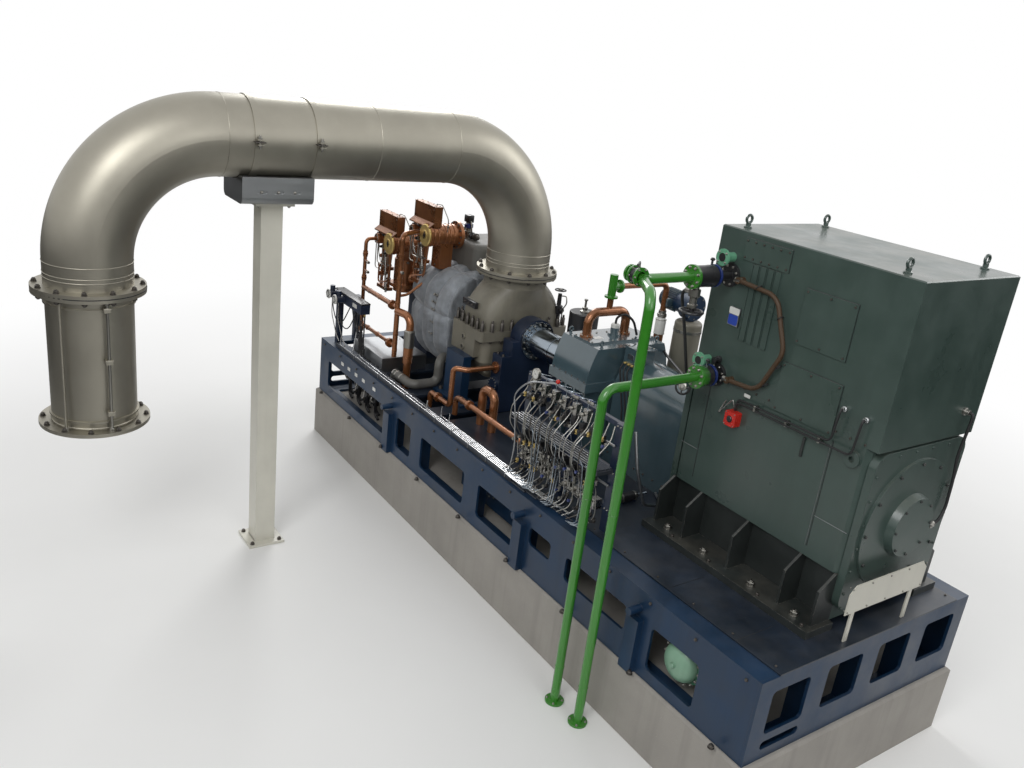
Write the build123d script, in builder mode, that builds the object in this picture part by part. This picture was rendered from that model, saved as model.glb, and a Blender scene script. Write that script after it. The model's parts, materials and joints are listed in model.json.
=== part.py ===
"""Steam turbine generator on its welded base frame, with the exhaust duct that it carries.

Millimetres. X runs along the shaft, towards the generator end. Y points away from the operating side,
Z points up. The origin is on the ground, in the middle of the foundation block. Heights in the driving
dimensions are above the frame's foot, and level() turns them into heights above the ground.
"""

import os

from build123d import *

os.makedirs("parts", exist_ok=True)

# Foundation block, cut at the height that shows
plinth_margin_x = 40
plinth_margin_y = 30
plinth_height = 600
plinth_chamfer = 20

# Base frame
frame_length = 7420
frame_width = 2500
frame_height = 700
web_plate = 25
flange_plate = 30
flange_reach = 180
window_head = 470
window_corner = 40
lug_post_width = 130
lug_post_reach = 60
lug_diameter = 64
lug_rise = 75
bay_count = 4
bay_sill = 220
bay_head = 580
bay_post = 200
slot_height = 70
slot_rise = 120
cross_depth = 380
cross_flange = 220
deck_plate = 12
deck_left = -780
tank_width = 1900
tank_bottom = 60
tank_top = 620

# Oil cooler in the last window
cooler_inset = 770
cooler_rise = 300
cooler_shell = 300
cooler_head = 380
cooler_head_plate = 40
cooler_dome = 60
cooler_dome_edge = 10
dome_diameter = 330
cooler_end_gap = 170
cooler_saddle = 60
cooler_saddle_y = 700

# Shaft line and the turbine, in the plane of the duct
shaft_height = 1500
turbine_x = -1350
exhaust_length = 620
exhaust_width = 1160
exhaust_flange_height = 2150
exhaust_flange_neck = 140
exhaust_shoulder = 180
shoulder_lip = 10
joint_flange = 55
joint_flange_reach = 70
exhaust_foot_rise = 980
exhaust_foot_inset = 210
lower_inset = 60
lower_corner = 90
joint_corner = 40
upper_corner = 120
shoulder_inset = 45
shoulder_corner = 230
casing_lug = 60
casing_lug_inset = 140
casing_lug_length = 250
end_block_length = 500
end_block_height = 260
end_block_width = 160
end_block_start = 30
end_block_step = 20
insulation_gap = 70
neck_diameter = 740
casing_length = 900
casing_width = 1300
casing_drop = 640
casing_rise = 500
casing_corner = 420
chest_length = 700
chest_width = 800
chest_y = 200
chest_rise = 300
chest_gap = 140
chest_foot = 200
chest_corner = 120
chest_crown = 70
pedestal_foot_plate = 50
front_length = 560
front_width = 620
front_foot_width = 900
front_cover_diameter = 400
front_cover_plate = 40

# Exhaust duct
duct_diameter = 700
duct_leg_length = 230
duct_bend = 1060
duct_reach = 4350
duct_flange_diameter = 895
duct_flange_plate = 32
duct_bolt_circle = 830
duct_bolt_hole = 27
duct_bolt_count = 12
expansion_diameter = 690
expansion_length = 1200
expansion_ring = 16
tie_rod_diameter = 24
clamp_plate = 8
clamp_width = 60
clamp_gap = 0.3
clamp_offsets = (-220, 330)
ear_reach = 70
saddle_length = 650
saddle_width = 520
saddle_drop = 200
saddle_seat = 40
saddle_corner = 60
slot_length = 90
slot_width = 28
slot_pitch = 150
slot_level = 110
slot_depth = 12
column_width = 200
column_inset = 460
base_plate_width = 360
base_plate = 25

# Generator, from the generator end of the frame
generator_inset = 230
generator_length = 1680
generator_near = -350
generator_width = 1150
generator_top = 3335
cooler_bottom = 2145
cooler_overhang = 60
channel_count = 4
channel_start = 385
channel_pitch = 70
channel_width = 50
channel_rise = 12
channel_foot = 370
channel_top = 3110
side_panel_bottom = 1170
body_inset = 60
housing_bevel = 35
lug_inset = 110
lug_plate = 25
lug_plate_diameter = 120
lug_hole = 45
shield_plate = 60
shield_rise = 300
shield_diameter = 1040
shield_inset = 20
shield_corner = 120
shield_cover_plate = 20
bearing_cover_diameter = 500
bearing_cover_depth = 60
bearing_cover_taper = 15
gusset_plate = 20
gusset_flare = 150
gusset_drop = 110
foot_rail = 60
foot_rail_width = 300
rail_overhang = 40

# Rear bearing pedestal, gearbox and couplings
pedestal_gap = 40
pedestal_length = 180
pedestal_width = 860
cap_diameter = 460
pedestal_shoulder = 160
pedestal_shoulder_width = 620
side_cover_height = 1010
side_cover_diameter = 160
side_cover_plate = 30
guard_flange_diameter = 420
guard_flange = 25
guard_diameter = 320
gearbox_left = -10
gearbox_length = 580
gearbox_near = -420
gearbox_width = 1060
gearbox_flange = 45
gearbox_inset = 60
gearbox_rib_pitch = 130
lid_inset = 15
lid_rise = 380
lid_slope = 95
lid_crown = 24
lid_cap_plate = 20
lid_cap_inset = 150
lid_cap_near = 110
breather_edge = 10
breather_diameter = 85
breather_rise = 110
hood_width = 560
hood_box = (200, 220, 400)
hood_box_near = 0
hood_box_corner = 12

# Cooling water risers
riser_diameter = 76
riser_bend = 110
riser_flange_diameter = 185
riser_flange = 24
riser_valve_diameter = 165
supply_riser_y = -1520
return_riser_y = -1500
supply_offset = 240
return_offset = 530
nozzle_offset = 175
supply_nozzle_height = 2180
return_nozzle_height = 2975
supply_reach = 250
return_reach = 430
return_cross = 230
stub_reach = 120
stub_plate = 15
stub_diameter = 125

# Oil pipes
oil_pipe = 60
oil_pipe_bend = 75
thick_pipe = 90
thick_pipe_bend = 110
thin_pipe = 45
thin_pipe_bend = 60
pipe_flange_diameter = 130
pipe_flange = 18
low_flange_diameter = 100
header_flange_diameter = 110

foot = plinth_height
deck = foot + frame_height
plate_top = deck + deck_plate
shaft = foot + shaft_height
near = -frame_width / 2
turbine_end = -frame_length / 2
generator_end = frame_length / 2
generator_right = generator_end - generator_inset
generator_left = generator_right - generator_length
generator_y = generator_near + generator_width / 2
duct_radius = duct_diameter / 2
column_y = duct_bend - duct_reach + column_inset


def level(height):
    """Height above the ground of a height above the frame's foot."""
    return foot + height


duct_foot = level(exhaust_flange_height)
straight_top = duct_foot + duct_leg_length
duct_z = straight_top + duct_bend


def keep(piece, node):
    """Name a finished piece and write its file."""
    piece.part.label = node
    export_step(piece.part, f"parts/{node}.step")


def block(x, y, z):
    """Add a block to the piece being built, from its two ends along each axis."""
    size = [end - start for start, end in (x, y, z)]
    with Locations([(sum(x) / 2, sum(y) / 2, sum(z) / 2)]):
        Box(*size)


def bar(start, end, diameter):
    """Add a round bar to the piece being built, from one point to another."""
    along = Vector(*end) - Vector(*start)
    with BuildSketch(Plane(origin=start, z_dir=along)) as section:
        Circle(diameter / 2)
    extrude(section.sketch, amount=along.length)


def pipe(points, diameter, bend):
    """Add one bent pipe to the piece being built, along straight runs joined by arcs."""
    with BuildLine() as route:
        FilletPolyline(*points, radius=bend)
    with BuildSketch(Plane(origin=route.line @ 0, z_dir=route.line % 0)) as section:
        Circle(diameter / 2)
    sweep(sections=section.sketch, path=route.line)


# Foundation block
with BuildPart() as foundation_block:
    with BuildSketch():
        Rectangle(frame_length + 2 * plinth_margin_x, frame_width + 2 * plinth_margin_y)
    extrude(amount=plinth_height)
    chamfer(foundation_block.faces().sort_by(Axis.Z)[-1].edges(), plinth_chamfer)
keep(foundation_block, "foundation_block")

# Side girders: a web with rounded windows between two flanges, with lugged posts outside.
# Each window is its left end, right end and sill.
windows = (
    (turbine_end + 260, -1840, 130),
    (-1535, -1200, 120),
    (-970, -70, 120),
    (190, 830, 130),
    (1070, 1390, 300),
    (1610, 2400, 250),
    (generator_end - 1020, generator_end - 520, 100),
)
lug_posts = (-1690, 950, generator_end - 1180)
stiffeners = (*lug_posts, -1080, 60, 1500)
girder_length = frame_length - 2 * web_plate


def girder(side):
    """One side girder. side is -1 on the operating side and 1 on the far side."""
    outer = side * frame_width / 2
    inner = outer - side * flange_reach
    web = outer - side * web_plate
    with BuildPart() as built:
        with BuildSketch(Plane.XZ.offset(-outer)):
            with Locations((0, (foot + deck) / 2)):
                Rectangle(girder_length, frame_height)
            for left, right, sill in windows:
                with Locations(((left + right) / 2, level((sill + window_head) / 2))):
                    RectangleRounded(right - left, window_head - sill, window_corner, mode=Mode.SUBTRACT)
        extrude(amount=side * web_plate)
        span = (-girder_length / 2, girder_length / 2)
        block(span, sorted((inner, outer)), (foot, foot + flange_plate))
        block(span, sorted((inner, outer)), (deck - flange_plate, deck))
        for x in stiffeners:
            block((x, x + web_plate), sorted((inner, web)), (foot + flange_plate, deck - flange_plate))
        reach = outer + side * lug_post_reach
        for x in lug_posts:
            ends = (x - lug_post_width / 2, x + lug_post_width / 2)
            block(ends, sorted((outer, reach)), (foot, level(window_head)))
            lug_z = level(window_head + lug_rise)
            bar((x, outer, lug_z), (x, outer + side * 2 * lug_post_reach, lug_z), lug_diameter)
    return built


keep(girder(-1), "near_side_girder")
keep(girder(1), "far_side_girder")

# End frames: a plate with four bays between posts, and flanges that meet the girders' flanges
bay_pitch = (frame_width - bay_post / 2) / bay_count
bay_width = bay_pitch - bay_post
end_flange_width = frame_width - 2 * flange_reach


def end_frame(side):
    """One end frame. side is 1 at the generator end and -1 at the turbine end."""
    outer = side * frame_length / 2
    web = outer - side * web_plate
    half = end_flange_width / 2
    first_bay = -(bay_count - 1) / 2 * bay_pitch
    with BuildPart() as built:
        with BuildSketch(Plane.YZ.offset(outer)):
            with Locations((0, (foot + deck) / 2)):
                Rectangle(frame_width, frame_height)
            for bay in range(bay_count):
                with Locations((first_bay + bay * bay_pitch, level((bay_sill + bay_head) / 2))):
                    RectangleRounded(bay_width, bay_head - bay_sill, window_corner, mode=Mode.SUBTRACT)
            with Locations((first_bay, level(slot_rise))):
                SlotOverall(bay_width, slot_height, mode=Mode.SUBTRACT)
        extrude(amount=-side * web_plate)
        for z in (foot, deck - flange_plate):
            block(sorted((web, web - side * flange_reach)), (-half, half), (z, z + flange_plate))
        for post in range(1, bay_count):
            y = (post - bay_count / 2) * bay_pitch
            z = (foot + flange_plate, deck - flange_plate)
            block(sorted((web, web - side * flange_reach)), (y - web_plate / 2, y + web_plate / 2), z)
    return built


keep(end_frame(1), "generator_end_frame")
keep(end_frame(-1), "turbine_end_frame")

# Cross members between the girders' top flanges
tank_side = 590
tank_members = (-tank_side - cross_flange / 2, tank_side + cross_flange / 2)
cross_places = (turbine_end + 560, -2330, -1640, -1060, *tank_members, 1500, 2200, generator_end - 360)
with BuildPart() as cross_members:
    half = end_flange_width / 2
    low = deck - cross_depth
    for x in cross_places:
        block((x - web_plate / 2, x + web_plate / 2), (-half, half), (low, deck))
        for z in (low, deck - flange_plate):
            block((x - cross_flange / 2, x + cross_flange / 2), (-half, half), (z, z + flange_plate))
keep(cross_members, "cross_members")

# Deck plate under the gear and the generator, on top of the frame
with BuildPart() as deck_plating:
    block((deck_left, generator_end), (-end_flange_width / 2, end_flange_width / 2), (deck, plate_top))
keep(deck_plating, "deck_plating")

# Oil tank inside the frame, hung between two cross members
with BuildPart() as oil_tank:
    block((-tank_side, tank_side), (-tank_width / 2, tank_width / 2), (level(tank_bottom), level(tank_top)))
    fillet(oil_tank.edges().filter_by(Axis.Z), window_corner)
keep(oil_tank, "oil_tank")

# Oil cooler across the frame on two saddles, with a domed head in the last window
cooler_x = generator_end - cooler_inset
cooler_z = level(cooler_rise)
cooler_near = near + cooler_end_gap
with BuildPart() as oil_cooler:
    face = (cooler_x, cooler_near, cooler_z)
    bar(face, (cooler_x, cooler_near - cooler_dome, cooler_z), dome_diameter)
    fillet(oil_cooler.faces().sort_by(Axis.Y)[0].edges(), cooler_dome - cooler_dome_edge)
    bar(face, (cooler_x, cooler_near + cooler_head_plate, cooler_z), cooler_head)
    bar(face, (cooler_x, -cooler_near, cooler_z), cooler_shell)
    half = cooler_shell / 2 - cooler_saddle / 2
    for y in (-cooler_saddle_y, cooler_saddle_y - cooler_saddle):
        block((cooler_x - half, cooler_x + half), (y, y + cooler_saddle), (foot, cooler_z))
keep(oil_cooler, "oil_cooler")

# Lower exhaust casing, up to the joint, with the flat block at its near end
casing_foot = level(exhaust_foot_rise)
exhaust_right = turbine_x + exhaust_length / 2
exhaust_left = turbine_x - exhaust_length / 2
exhaust_near = -exhaust_width / 2
lower_length = exhaust_length - lower_inset
lower_width = exhaust_width - 2 * joint_flange_reach
foot_length = exhaust_length - exhaust_foot_inset
foot_width = exhaust_width - 2 * exhaust_foot_inset
with BuildPart() as exhaust_casing_lower:
    with BuildSketch(Plane.XY.offset(casing_foot)):
        with Locations((turbine_x, 0)):
            RectangleRounded(foot_length, foot_width, lower_corner)
    with BuildSketch(Plane.XY.offset(shaft - joint_flange - end_block_height)):
        with Locations((turbine_x, 0)):
            RectangleRounded(lower_length, lower_width, lower_corner)
    loft()
    with BuildSketch(Plane.XY.offset(shaft - joint_flange - end_block_height)):
        with Locations((turbine_x, 0)):
            RectangleRounded(lower_length, lower_width, lower_corner)
    extrude(amount=end_block_height)
    with BuildSketch(Plane.XY.offset(shaft - joint_flange)):
        with Locations((turbine_x, 0)):
            RectangleRounded(exhaust_length, exhaust_width, joint_corner)
    extrude(amount=joint_flange)
    block_x = (exhaust_left + end_block_start, exhaust_left + end_block_length)
    for side in (-1, 1):
        outer = side * exhaust_width / 2
        block_y = sorted((outer, outer - side * end_block_width))
        block(block_x, block_y, (shaft - end_block_height, shaft - end_block_step))
keep(exhaust_casing_lower, "exhaust_casing_lower")

shoulder_width = lower_width - shoulder_inset

# Upper exhaust casing: from the oblong joint over a rounded shoulder to the round neck and its flange
neck_z = duct_foot - exhaust_flange_neck
casing_flange_bottom = duct_foot - duct_flange_plate
with BuildPart() as exhaust_casing_upper:
    with BuildSketch(Plane.XY.offset(shaft)):
        with Locations((turbine_x, 0)):
            RectangleRounded(exhaust_length, exhaust_width, joint_corner)
    extrude(amount=joint_flange)
    with BuildSketch(Plane.XY.offset(shaft + joint_flange)):
        with Locations((turbine_x, 0)):
            RectangleRounded(lower_length, lower_width, upper_corner)
    with BuildSketch(Plane.XY.offset(neck_z - exhaust_shoulder)):
        with Locations((turbine_x, 0)):
            RectangleRounded(exhaust_length - shoulder_inset, shoulder_width, shoulder_corner)
    with BuildSketch(Plane.XY.offset(neck_z)):
        with Locations((turbine_x, 0)):
            Circle(duct_radius)
    loft()
    with BuildSketch(Plane.XY.offset(neck_z)):
        with Locations((turbine_x, 0)):
            Circle(duct_radius)
    extrude(amount=casing_flange_bottom - neck_z)
    with BuildSketch(Plane.XY.offset(casing_flange_bottom)):
        with Locations((turbine_x, 0)):
            Circle(duct_flange_diameter / 2)
            with PolarLocations(duct_bolt_circle / 2, duct_bolt_count, start_angle=15):
                Circle(duct_bolt_hole / 2, mode=Mode.SUBTRACT)
    extrude(amount=duct_flange_plate)
    lug_x = (exhaust_left + casing_lug_inset, exhaust_left + casing_lug_inset + casing_lug_length)
    lug_y = exhaust_near + joint_flange_reach - casing_lug / 2
    lug_top = neck_z - exhaust_shoulder - shoulder_lip
    block(lug_x, (lug_y, lug_y + 2 * casing_lug), (lug_top - casing_lug, lug_top))
keep(exhaust_casing_upper, "exhaust_casing_upper")

# Turbine feet beside the lower casing, on the cross members
foot_gap = 10
foot_post = (360, 100)
foot_sole = (600, 220)
foot_seat = (240, 60)
with BuildPart() as turbine_feet:
    for side in (-1, 1):
        y = side * (exhaust_width / 2 + foot_gap + foot_post[1] / 2)
        top = shaft - joint_flange - end_block_height + foot_seat[1]
        for (length, width), height in ((foot_post, top), (foot_sole, deck + flange_plate)):
            ends = (turbine_x - length / 2, turbine_x + length / 2)
            block(ends, (y - width / 2, y + width / 2), (deck, height))
        seat = sorted((y - side * foot_post[1] / 2, side * (exhaust_width / 2 - joint_flange_reach)))
        seat_x = (turbine_x - foot_seat[0] / 2, turbine_x + foot_seat[0] / 2)
        block(seat_x, seat, (top - foot_seat[1], top))
    add(exhaust_casing_lower.part, mode=Mode.SUBTRACT)
keep(turbine_feet, "turbine_feet")

# Insulated high-pressure casing, a crowned block beside the exhaust casing, with its neck
casing_right = exhaust_left - insulation_gap
casing_middle = casing_right - casing_length / 2
casing_left = casing_right - casing_length
casing_height = casing_rise + casing_drop
casing_z = shaft + (casing_rise - casing_drop) / 2
casing_sections = (
    (casing_right, 120, casing_corner - 40),
    (casing_middle, 0, casing_corner),
    (casing_left, 200, casing_corner - 60),
)
with BuildPart() as insulated_casing:
    for x, trim, corner in casing_sections:
        with BuildSketch(Plane.YZ.offset(x)):
            with Locations((0, casing_z)):
                RectangleRounded(casing_width - trim, casing_height - trim / 2, corner)
    loft()
    bar((casing_right, 0, shaft), (exhaust_left, 0, shaft), neck_diameter)
keep(insulated_casing, "insulated_casing")

# Insulated steam chest on top of it
chest_right = casing_right - chest_gap
chest_left = chest_right - chest_length
chest_top = shaft + casing_rise + chest_rise
with BuildPart() as steam_chest:
    chest_depth = (chest_y - chest_width / 2, chest_y + chest_width / 2)
    block((chest_left, chest_right), chest_depth, (shaft + chest_foot, chest_top))
    fillet(steam_chest.edges().filter_by(Axis.Z), chest_corner)
    fillet(steam_chest.faces().sort_by(Axis.Z)[-1].edges(), chest_crown)
    add(insulated_casing.part, mode=Mode.SUBTRACT)
keep(steam_chest, "steam_chest")

# Front bearing pedestal at the turbine end of the frame
front_left = casing_left - front_length
with BuildPart() as front_pedestal:
    front_x = (front_left, casing_left)
    for width, top in ((front_width, shaft), (front_foot_width, deck + pedestal_foot_plate)):
        block(front_x, (-width / 2, width / 2), (deck, top))
    bar((front_left, 0, shaft), (casing_left, 0, shaft), front_width)
    bar((front_left, 0, shaft), (front_left - front_cover_plate, 0, shaft), front_cover_diameter)
keep(front_pedestal, "front_pedestal")

# Valve servo motors: a drum across the shaft with a disc on its near end and a flange on its far end,
# a flat box with a sloping lip above the disc, a neck below the drum, and beside the disc the pilot drum
# with its round pilot valve and two guide columns. Both places are from the middle of the insulated casing.
stop_valve = (casing_middle - 790, -750, level(2084))
control_valve = (casing_middle - 101, -650, level(2341))
disc_diameter = 270
disc_plate = 22
drum_diameter = 250
drum_length = 380
drum_flange_diameter = 320
drum_flange = 40
servo_box = (480, 100, 230)
servo_box_foot = 105
servo_box_offset = 150
servo_box_inset = 40
lip_reach = 60
lip_drop = 45
lip_plate = 14
neck_width = 190
neck_depth = 160
neck_drop = 380
neck_inset = 230
pilot_reach = 350
pilot_inset = 90
pilot_diameter = 110
pilot_valve_offset = 300
pilot_valve_diameter = 130
pilot_valve_depth = 110
guide_drop = 620
guide_spread = 190
guide_offset = 235
guide_diameter = 38
guide_plate = 40
guide_plate_depth = 90
guide_plate_reach = 35
guide_plate_step = 260


def servo_motor(place, carrier):
    """One valve's servo motor at place, the middle of its disc, standing on the piece carrier."""
    x, y, z = place
    with BuildPart() as built:
        bar((x, y, z), (x, y + disc_plate, z), disc_diameter)
        bar((x, y + disc_plate, z), (x, y + drum_length, z), drum_diameter)
        bar((x, y + drum_length, z), (x, y + drum_length + drum_flange, z), drum_flange_diameter)
        width, depth, height = servo_box
        front = y + servo_box_inset
        box_foot = z + servo_box_foot
        box_left = x - servo_box_offset - width / 2
        block((box_left, box_left + width), (front, front + depth), (box_foot, box_foot + height))
        with BuildSketch(Plane.YZ.offset(box_left)) as lip:
            with BuildLine():
                Polyline(
                    (front, box_foot + lip_drop),
                    (front - lip_reach, box_foot),
                    (front - lip_reach, box_foot - lip_plate),
                    (front, box_foot + lip_drop - lip_plate),
                    close=True,
                )
            make_face()
        extrude(lip.sketch, amount=width)
        middle = y + neck_inset
        neck_x = (x - neck_width / 2, x + neck_width / 2)
        block(neck_x, (middle - neck_depth / 2, middle + neck_depth / 2), (z - neck_drop, z))
        pilot_y = y + pilot_inset
        bar((x, pilot_y, z), (x - pilot_reach, pilot_y, z), pilot_diameter)
        valve_x = x - pilot_valve_offset
        bar((valve_x, pilot_y, z), (valve_x, pilot_y - pilot_valve_depth, z), pilot_valve_diameter)
        guide_x = x - guide_offset
        for offset in (-guide_spread / 2, guide_spread / 2):
            bar((guide_x + offset, pilot_y, z), (guide_x + offset, pilot_y, z - guide_drop), guide_diameter)
        reach = guide_spread / 2 + guide_plate_reach
        plate_y = (pilot_y - guide_plate_depth / 2, pilot_y + guide_plate_depth / 2)
        for drop in (guide_drop, guide_drop - guide_plate_step):
            block((guide_x - reach, guide_x + reach), plate_y, (z - drop, z - drop + guide_plate))
        add(carrier.part, mode=Mode.SUBTRACT)
    return built


actuators = {"control_valve_actuator": servo_motor(control_valve, insulated_casing)}
keep(actuators["control_valve_actuator"], "control_valve_actuator")

# The stop valve stands beside the chest: its body, and the steam branch that joins the two
valve_body_diameter = 260
valve_body_foot = 584
valve_body_gap = 60
valve_flange_diameter = 350
valve_flange = 40
branch_diameter = 170
branch_start = 444
branch_rise = 240
branch_run = (200, 420)
with BuildPart() as stop_valve_body:
    x, y, z = stop_valve
    body_y = y + neck_inset
    foot_z = z - valve_body_foot
    bar((x, body_y, foot_z), (x, body_y, z - drum_diameter / 2 - valve_body_gap), valve_body_diameter)
    branch_z = z - branch_start
    branch_end = (chest_left + branch_run[0], body_y + branch_run[1], branch_z + branch_rise)
    bar((x, body_y, branch_z), branch_end, branch_diameter)
    flange_z = foot_z + valve_body_gap
    bar((x, body_y, flange_z), (x, body_y, flange_z + valve_flange), valve_flange_diameter)
    add(insulated_casing.part, mode=Mode.SUBTRACT)
    add(steam_chest.part, mode=Mode.SUBTRACT)
    add(front_pedestal.part, mode=Mode.SUBTRACT)
keep(stop_valve_body, "stop_valve_body")
actuators["stop_valve_actuator"] = servo_motor(stop_valve, stop_valve_body)
keep(actuators["stop_valve_actuator"], "stop_valve_actuator")

# Aluminium sheet cover over the steam line flanges at the turbine end
cover_x = (casing_middle - 900, casing_middle - 120)
cover_y = (-1090, -500)
cover_rise = 180
cover_bend = 6
with BuildPart() as sheet_cover:
    block(cover_x, cover_y, (deck, deck + cover_rise))
    chamfer(sheet_cover.faces().sort_by(Axis.Z)[-1].edges(), cover_bend)
keep(sheet_cover, "sheet_cover")

# Control oil pipes: an upright from the cover to each servo motor's pilot drum, the two headers that join
# them and the drop
upright = (cover_x[1] - 35, -920)
upright_left = upright[0] - 925
header_heights = (1010, 1480)
header_flange = 145
oil_drop = (upright[0] + 245, -870)
drop_foot = 560
drop_top = 1440
drop_sleeve_diameter = 116
drop_sleeve = (880, 1080)
with BuildPart() as control_oil_pipes:
    x, y = upright
    top = control_valve[2]
    pilot = (control_valve[0] - guide_offset, control_valve[1] + pilot_inset, top)
    pipe([(x, y, deck + cover_rise), (x, y, top), pilot], oil_pipe, oil_pipe_bend)
    low, high = (level(height) for height in header_heights)
    left_top = stop_valve[2]
    left = upright_left
    pilot = (left, stop_valve[1] + pilot_inset, left_top)
    pipe([(x, y, low), (left, y, low), (left, y, left_top), pilot], thin_pipe, thin_pipe_bend)
    bar((left, y, high), (x, y, high), oil_pipe)
    for z in (low, high):
        flange_x = x - header_flange
        bar((flange_x, y, z), (flange_x + 2 * pipe_flange, y, z), header_flange_diameter)
    drop_x, drop_y = oil_drop
    drop_high = level(drop_top)
    drop = [(x, y, drop_high), (drop_x, drop_y, drop_high), (drop_x, drop_y, level(drop_foot))]
    pipe(drop, thick_pipe, thick_pipe_bend)
    sleeve = [level(height) for height in drop_sleeve]
    bar((drop_x, drop_y, sleeve[0]), (drop_x, drop_y, sleeve[1]), drop_sleeve_diameter)
    add(actuators["control_valve_actuator"].part, mode=Mode.SUBTRACT)
    add(actuators["stop_valve_actuator"].part, mode=Mode.SUBTRACT)
keep(control_oil_pipes, "control_oil_pipes")

# Rear bearing pedestal between the turbine and the gear, with its cap and a round side cover
pedestal_left = exhaust_right + pedestal_gap
pedestal_right = pedestal_left + pedestal_length
pedestal_middle = (pedestal_left + pedestal_right) / 2
with BuildPart() as rear_pedestal:
    pedestal_x = (pedestal_left, pedestal_right)
    half = pedestal_width / 2
    block(pedestal_x, (-half, half), (deck, shaft - pedestal_shoulder))
    half_shoulder = pedestal_shoulder_width / 2
    block(pedestal_x, (-half_shoulder, half_shoulder), (shaft - pedestal_shoulder, shaft))
    bar((pedestal_left, 0, shaft), (pedestal_right, 0, shaft), cap_diameter)
    side_z = level(side_cover_height)
    cover_end = (pedestal_middle, -half - side_cover_plate, side_z)
    bar((pedestal_middle, -half, side_z), cover_end, side_cover_diameter)
keep(rear_pedestal, "rear_pedestal")

# Gearbox: a ribbed lower case up to the shaft line, and a lid whose long sides slope in and bulge
gearbox_right = gearbox_left + gearbox_length
gearbox_far = gearbox_near + gearbox_width
with BuildPart() as gearbox_case:
    case_x = (gearbox_left + gearbox_inset, gearbox_right - gearbox_inset)
    case_y = (gearbox_near + gearbox_inset, gearbox_far - gearbox_inset)
    block(case_x, case_y, (plate_top, shaft))
    block((gearbox_left, gearbox_right), (gearbox_near, gearbox_far), (shaft - gearbox_flange, shaft))
    block((gearbox_left, gearbox_right), (gearbox_near, gearbox_far), (plate_top, plate_top + flange_plate))
    for step in (-1, 0, 1):
        x = sum(case_x) / 2 + step * gearbox_rib_pitch
        rib = (x - web_plate / 2, x + web_plate / 2)
        block(rib, (gearbox_near, gearbox_far), (plate_top, shaft))
keep(gearbox_case, "gearbox_case")

lid_near = gearbox_near + lid_inset
lid_far = gearbox_far - lid_inset
lid_top = shaft + lid_rise
lid_cap_top = lid_top + lid_cap_plate
breather_place = (245, 130)
with BuildPart() as gearbox_lid:
    bulge_y = lid_slope / 2 - lid_crown
    bulge_z = shaft + lid_rise / 2
    with BuildSketch(Plane.YZ.offset(gearbox_left + lid_inset)) as lid_end:
        with BuildLine():
            Line((lid_near, shaft), (lid_far, shaft))
            ThreePointArc((lid_far, shaft), (lid_far - bulge_y, bulge_z), (lid_far - lid_slope, lid_top))
            Line((lid_far - lid_slope, lid_top), (lid_near + lid_slope, lid_top))
            ThreePointArc((lid_near + lid_slope, lid_top), (lid_near + bulge_y, bulge_z), (lid_near, shaft))
        make_face()
    extrude(lid_end.sketch, amount=gearbox_length - 2 * lid_inset)
    block((gearbox_left, gearbox_right), (gearbox_near, gearbox_far), (shaft, shaft + gearbox_flange))
    cap_x = (gearbox_left + lid_cap_inset, gearbox_right - lid_cap_inset)
    block(cap_x, (lid_near + lid_cap_near, lid_far - lid_cap_near), (lid_top, lid_cap_top))
    breather_end = (*breather_place, lid_cap_top + breather_rise)
    bar((*breather_place, lid_cap_top), breather_end, breather_diameter)
    fillet(gearbox_lid.faces().sort_by(Axis.Z)[-1].edges(), breather_edge)
    bar((*breather_place, lid_cap_top), (*breather_place, lid_cap_top + pipe_flange), pipe_flange_diameter)
keep(gearbox_lid, "gearbox_lid")

# Coupling guards on both sides of the gear: a flanged tube, and a hood from the deck
with BuildPart() as turbine_coupling_guard:
    bar((pedestal_right, 0, shaft), (pedestal_right + guard_flange, 0, shaft), guard_flange_diameter)
    bar((pedestal_right, 0, shaft), (gearbox_left, 0, shaft), guard_diameter)
    bar((gearbox_left - guard_flange, 0, shaft), (gearbox_left, 0, shaft), guard_flange_diameter)
keep(turbine_coupling_guard, "turbine_coupling_guard")

hood_left = gearbox_right
hood_right = generator_left - shield_plate
with BuildPart() as generator_coupling_guard:
    with BuildSketch(Plane.YZ.offset(hood_left)):
        with Locations((generator_y, shaft)):
            Circle(hood_width / 2)
        with Locations((generator_y, (plate_top + shaft) / 2)):
            Rectangle(hood_width, shaft - plate_top)
    extrude(amount=hood_right - hood_left)
keep(generator_coupling_guard, "generator_coupling_guard")

# Terminal box on the hood, beside the gear lid
with BuildPart() as terminal_box:
    length, width, height = hood_box
    block((hood_left, hood_left + length), (hood_box_near, hood_box_near + width), (shaft, shaft + height))
    fillet(terminal_box.edges().filter_by(Axis.Z), hood_box_corner)
    add(generator_coupling_guard.part, mode=Mode.SUBTRACT)
keep(terminal_box, "terminal_box")

# Vent arch over the gear lid, and on its crown the tee with the branch down to a filter behind the gear
arch_x = 230
arch_near = -210
arch_far = 268
arch_y = (arch_near + arch_far) / 2
arch_crown = lid_top + 260
arch_riser = 140
tee_foot = arch_crown + arch_riser
tee_height = 230
tee_diameter = 80
tee_branch = 110
tee_reach = 100
branch_gap = 130
branch_y = lid_far + branch_gap
filter_top = level(1900)
filter_bottom = level(1700)
filter_diameter = 100
with BuildPart() as vent_arch:
    near_leg = (arch_x, arch_near)
    far_leg = (arch_x, arch_far)
    rise = [(*near_leg, lid_cap_top), (*near_leg, arch_crown)]
    fall = [(*far_leg, arch_crown), (*far_leg, lid_cap_top)]
    pipe([*rise, *fall], thick_pipe, thick_pipe_bend)
    bar((arch_x, arch_y, arch_crown), (arch_x, arch_y, tee_foot), oil_pipe)
    for leg in (near_leg, far_leg):
        bar((*leg, lid_cap_top), (*leg, lid_cap_top + pipe_flange), pipe_flange_diameter)
keep(vent_arch, "vent_arch")

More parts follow.
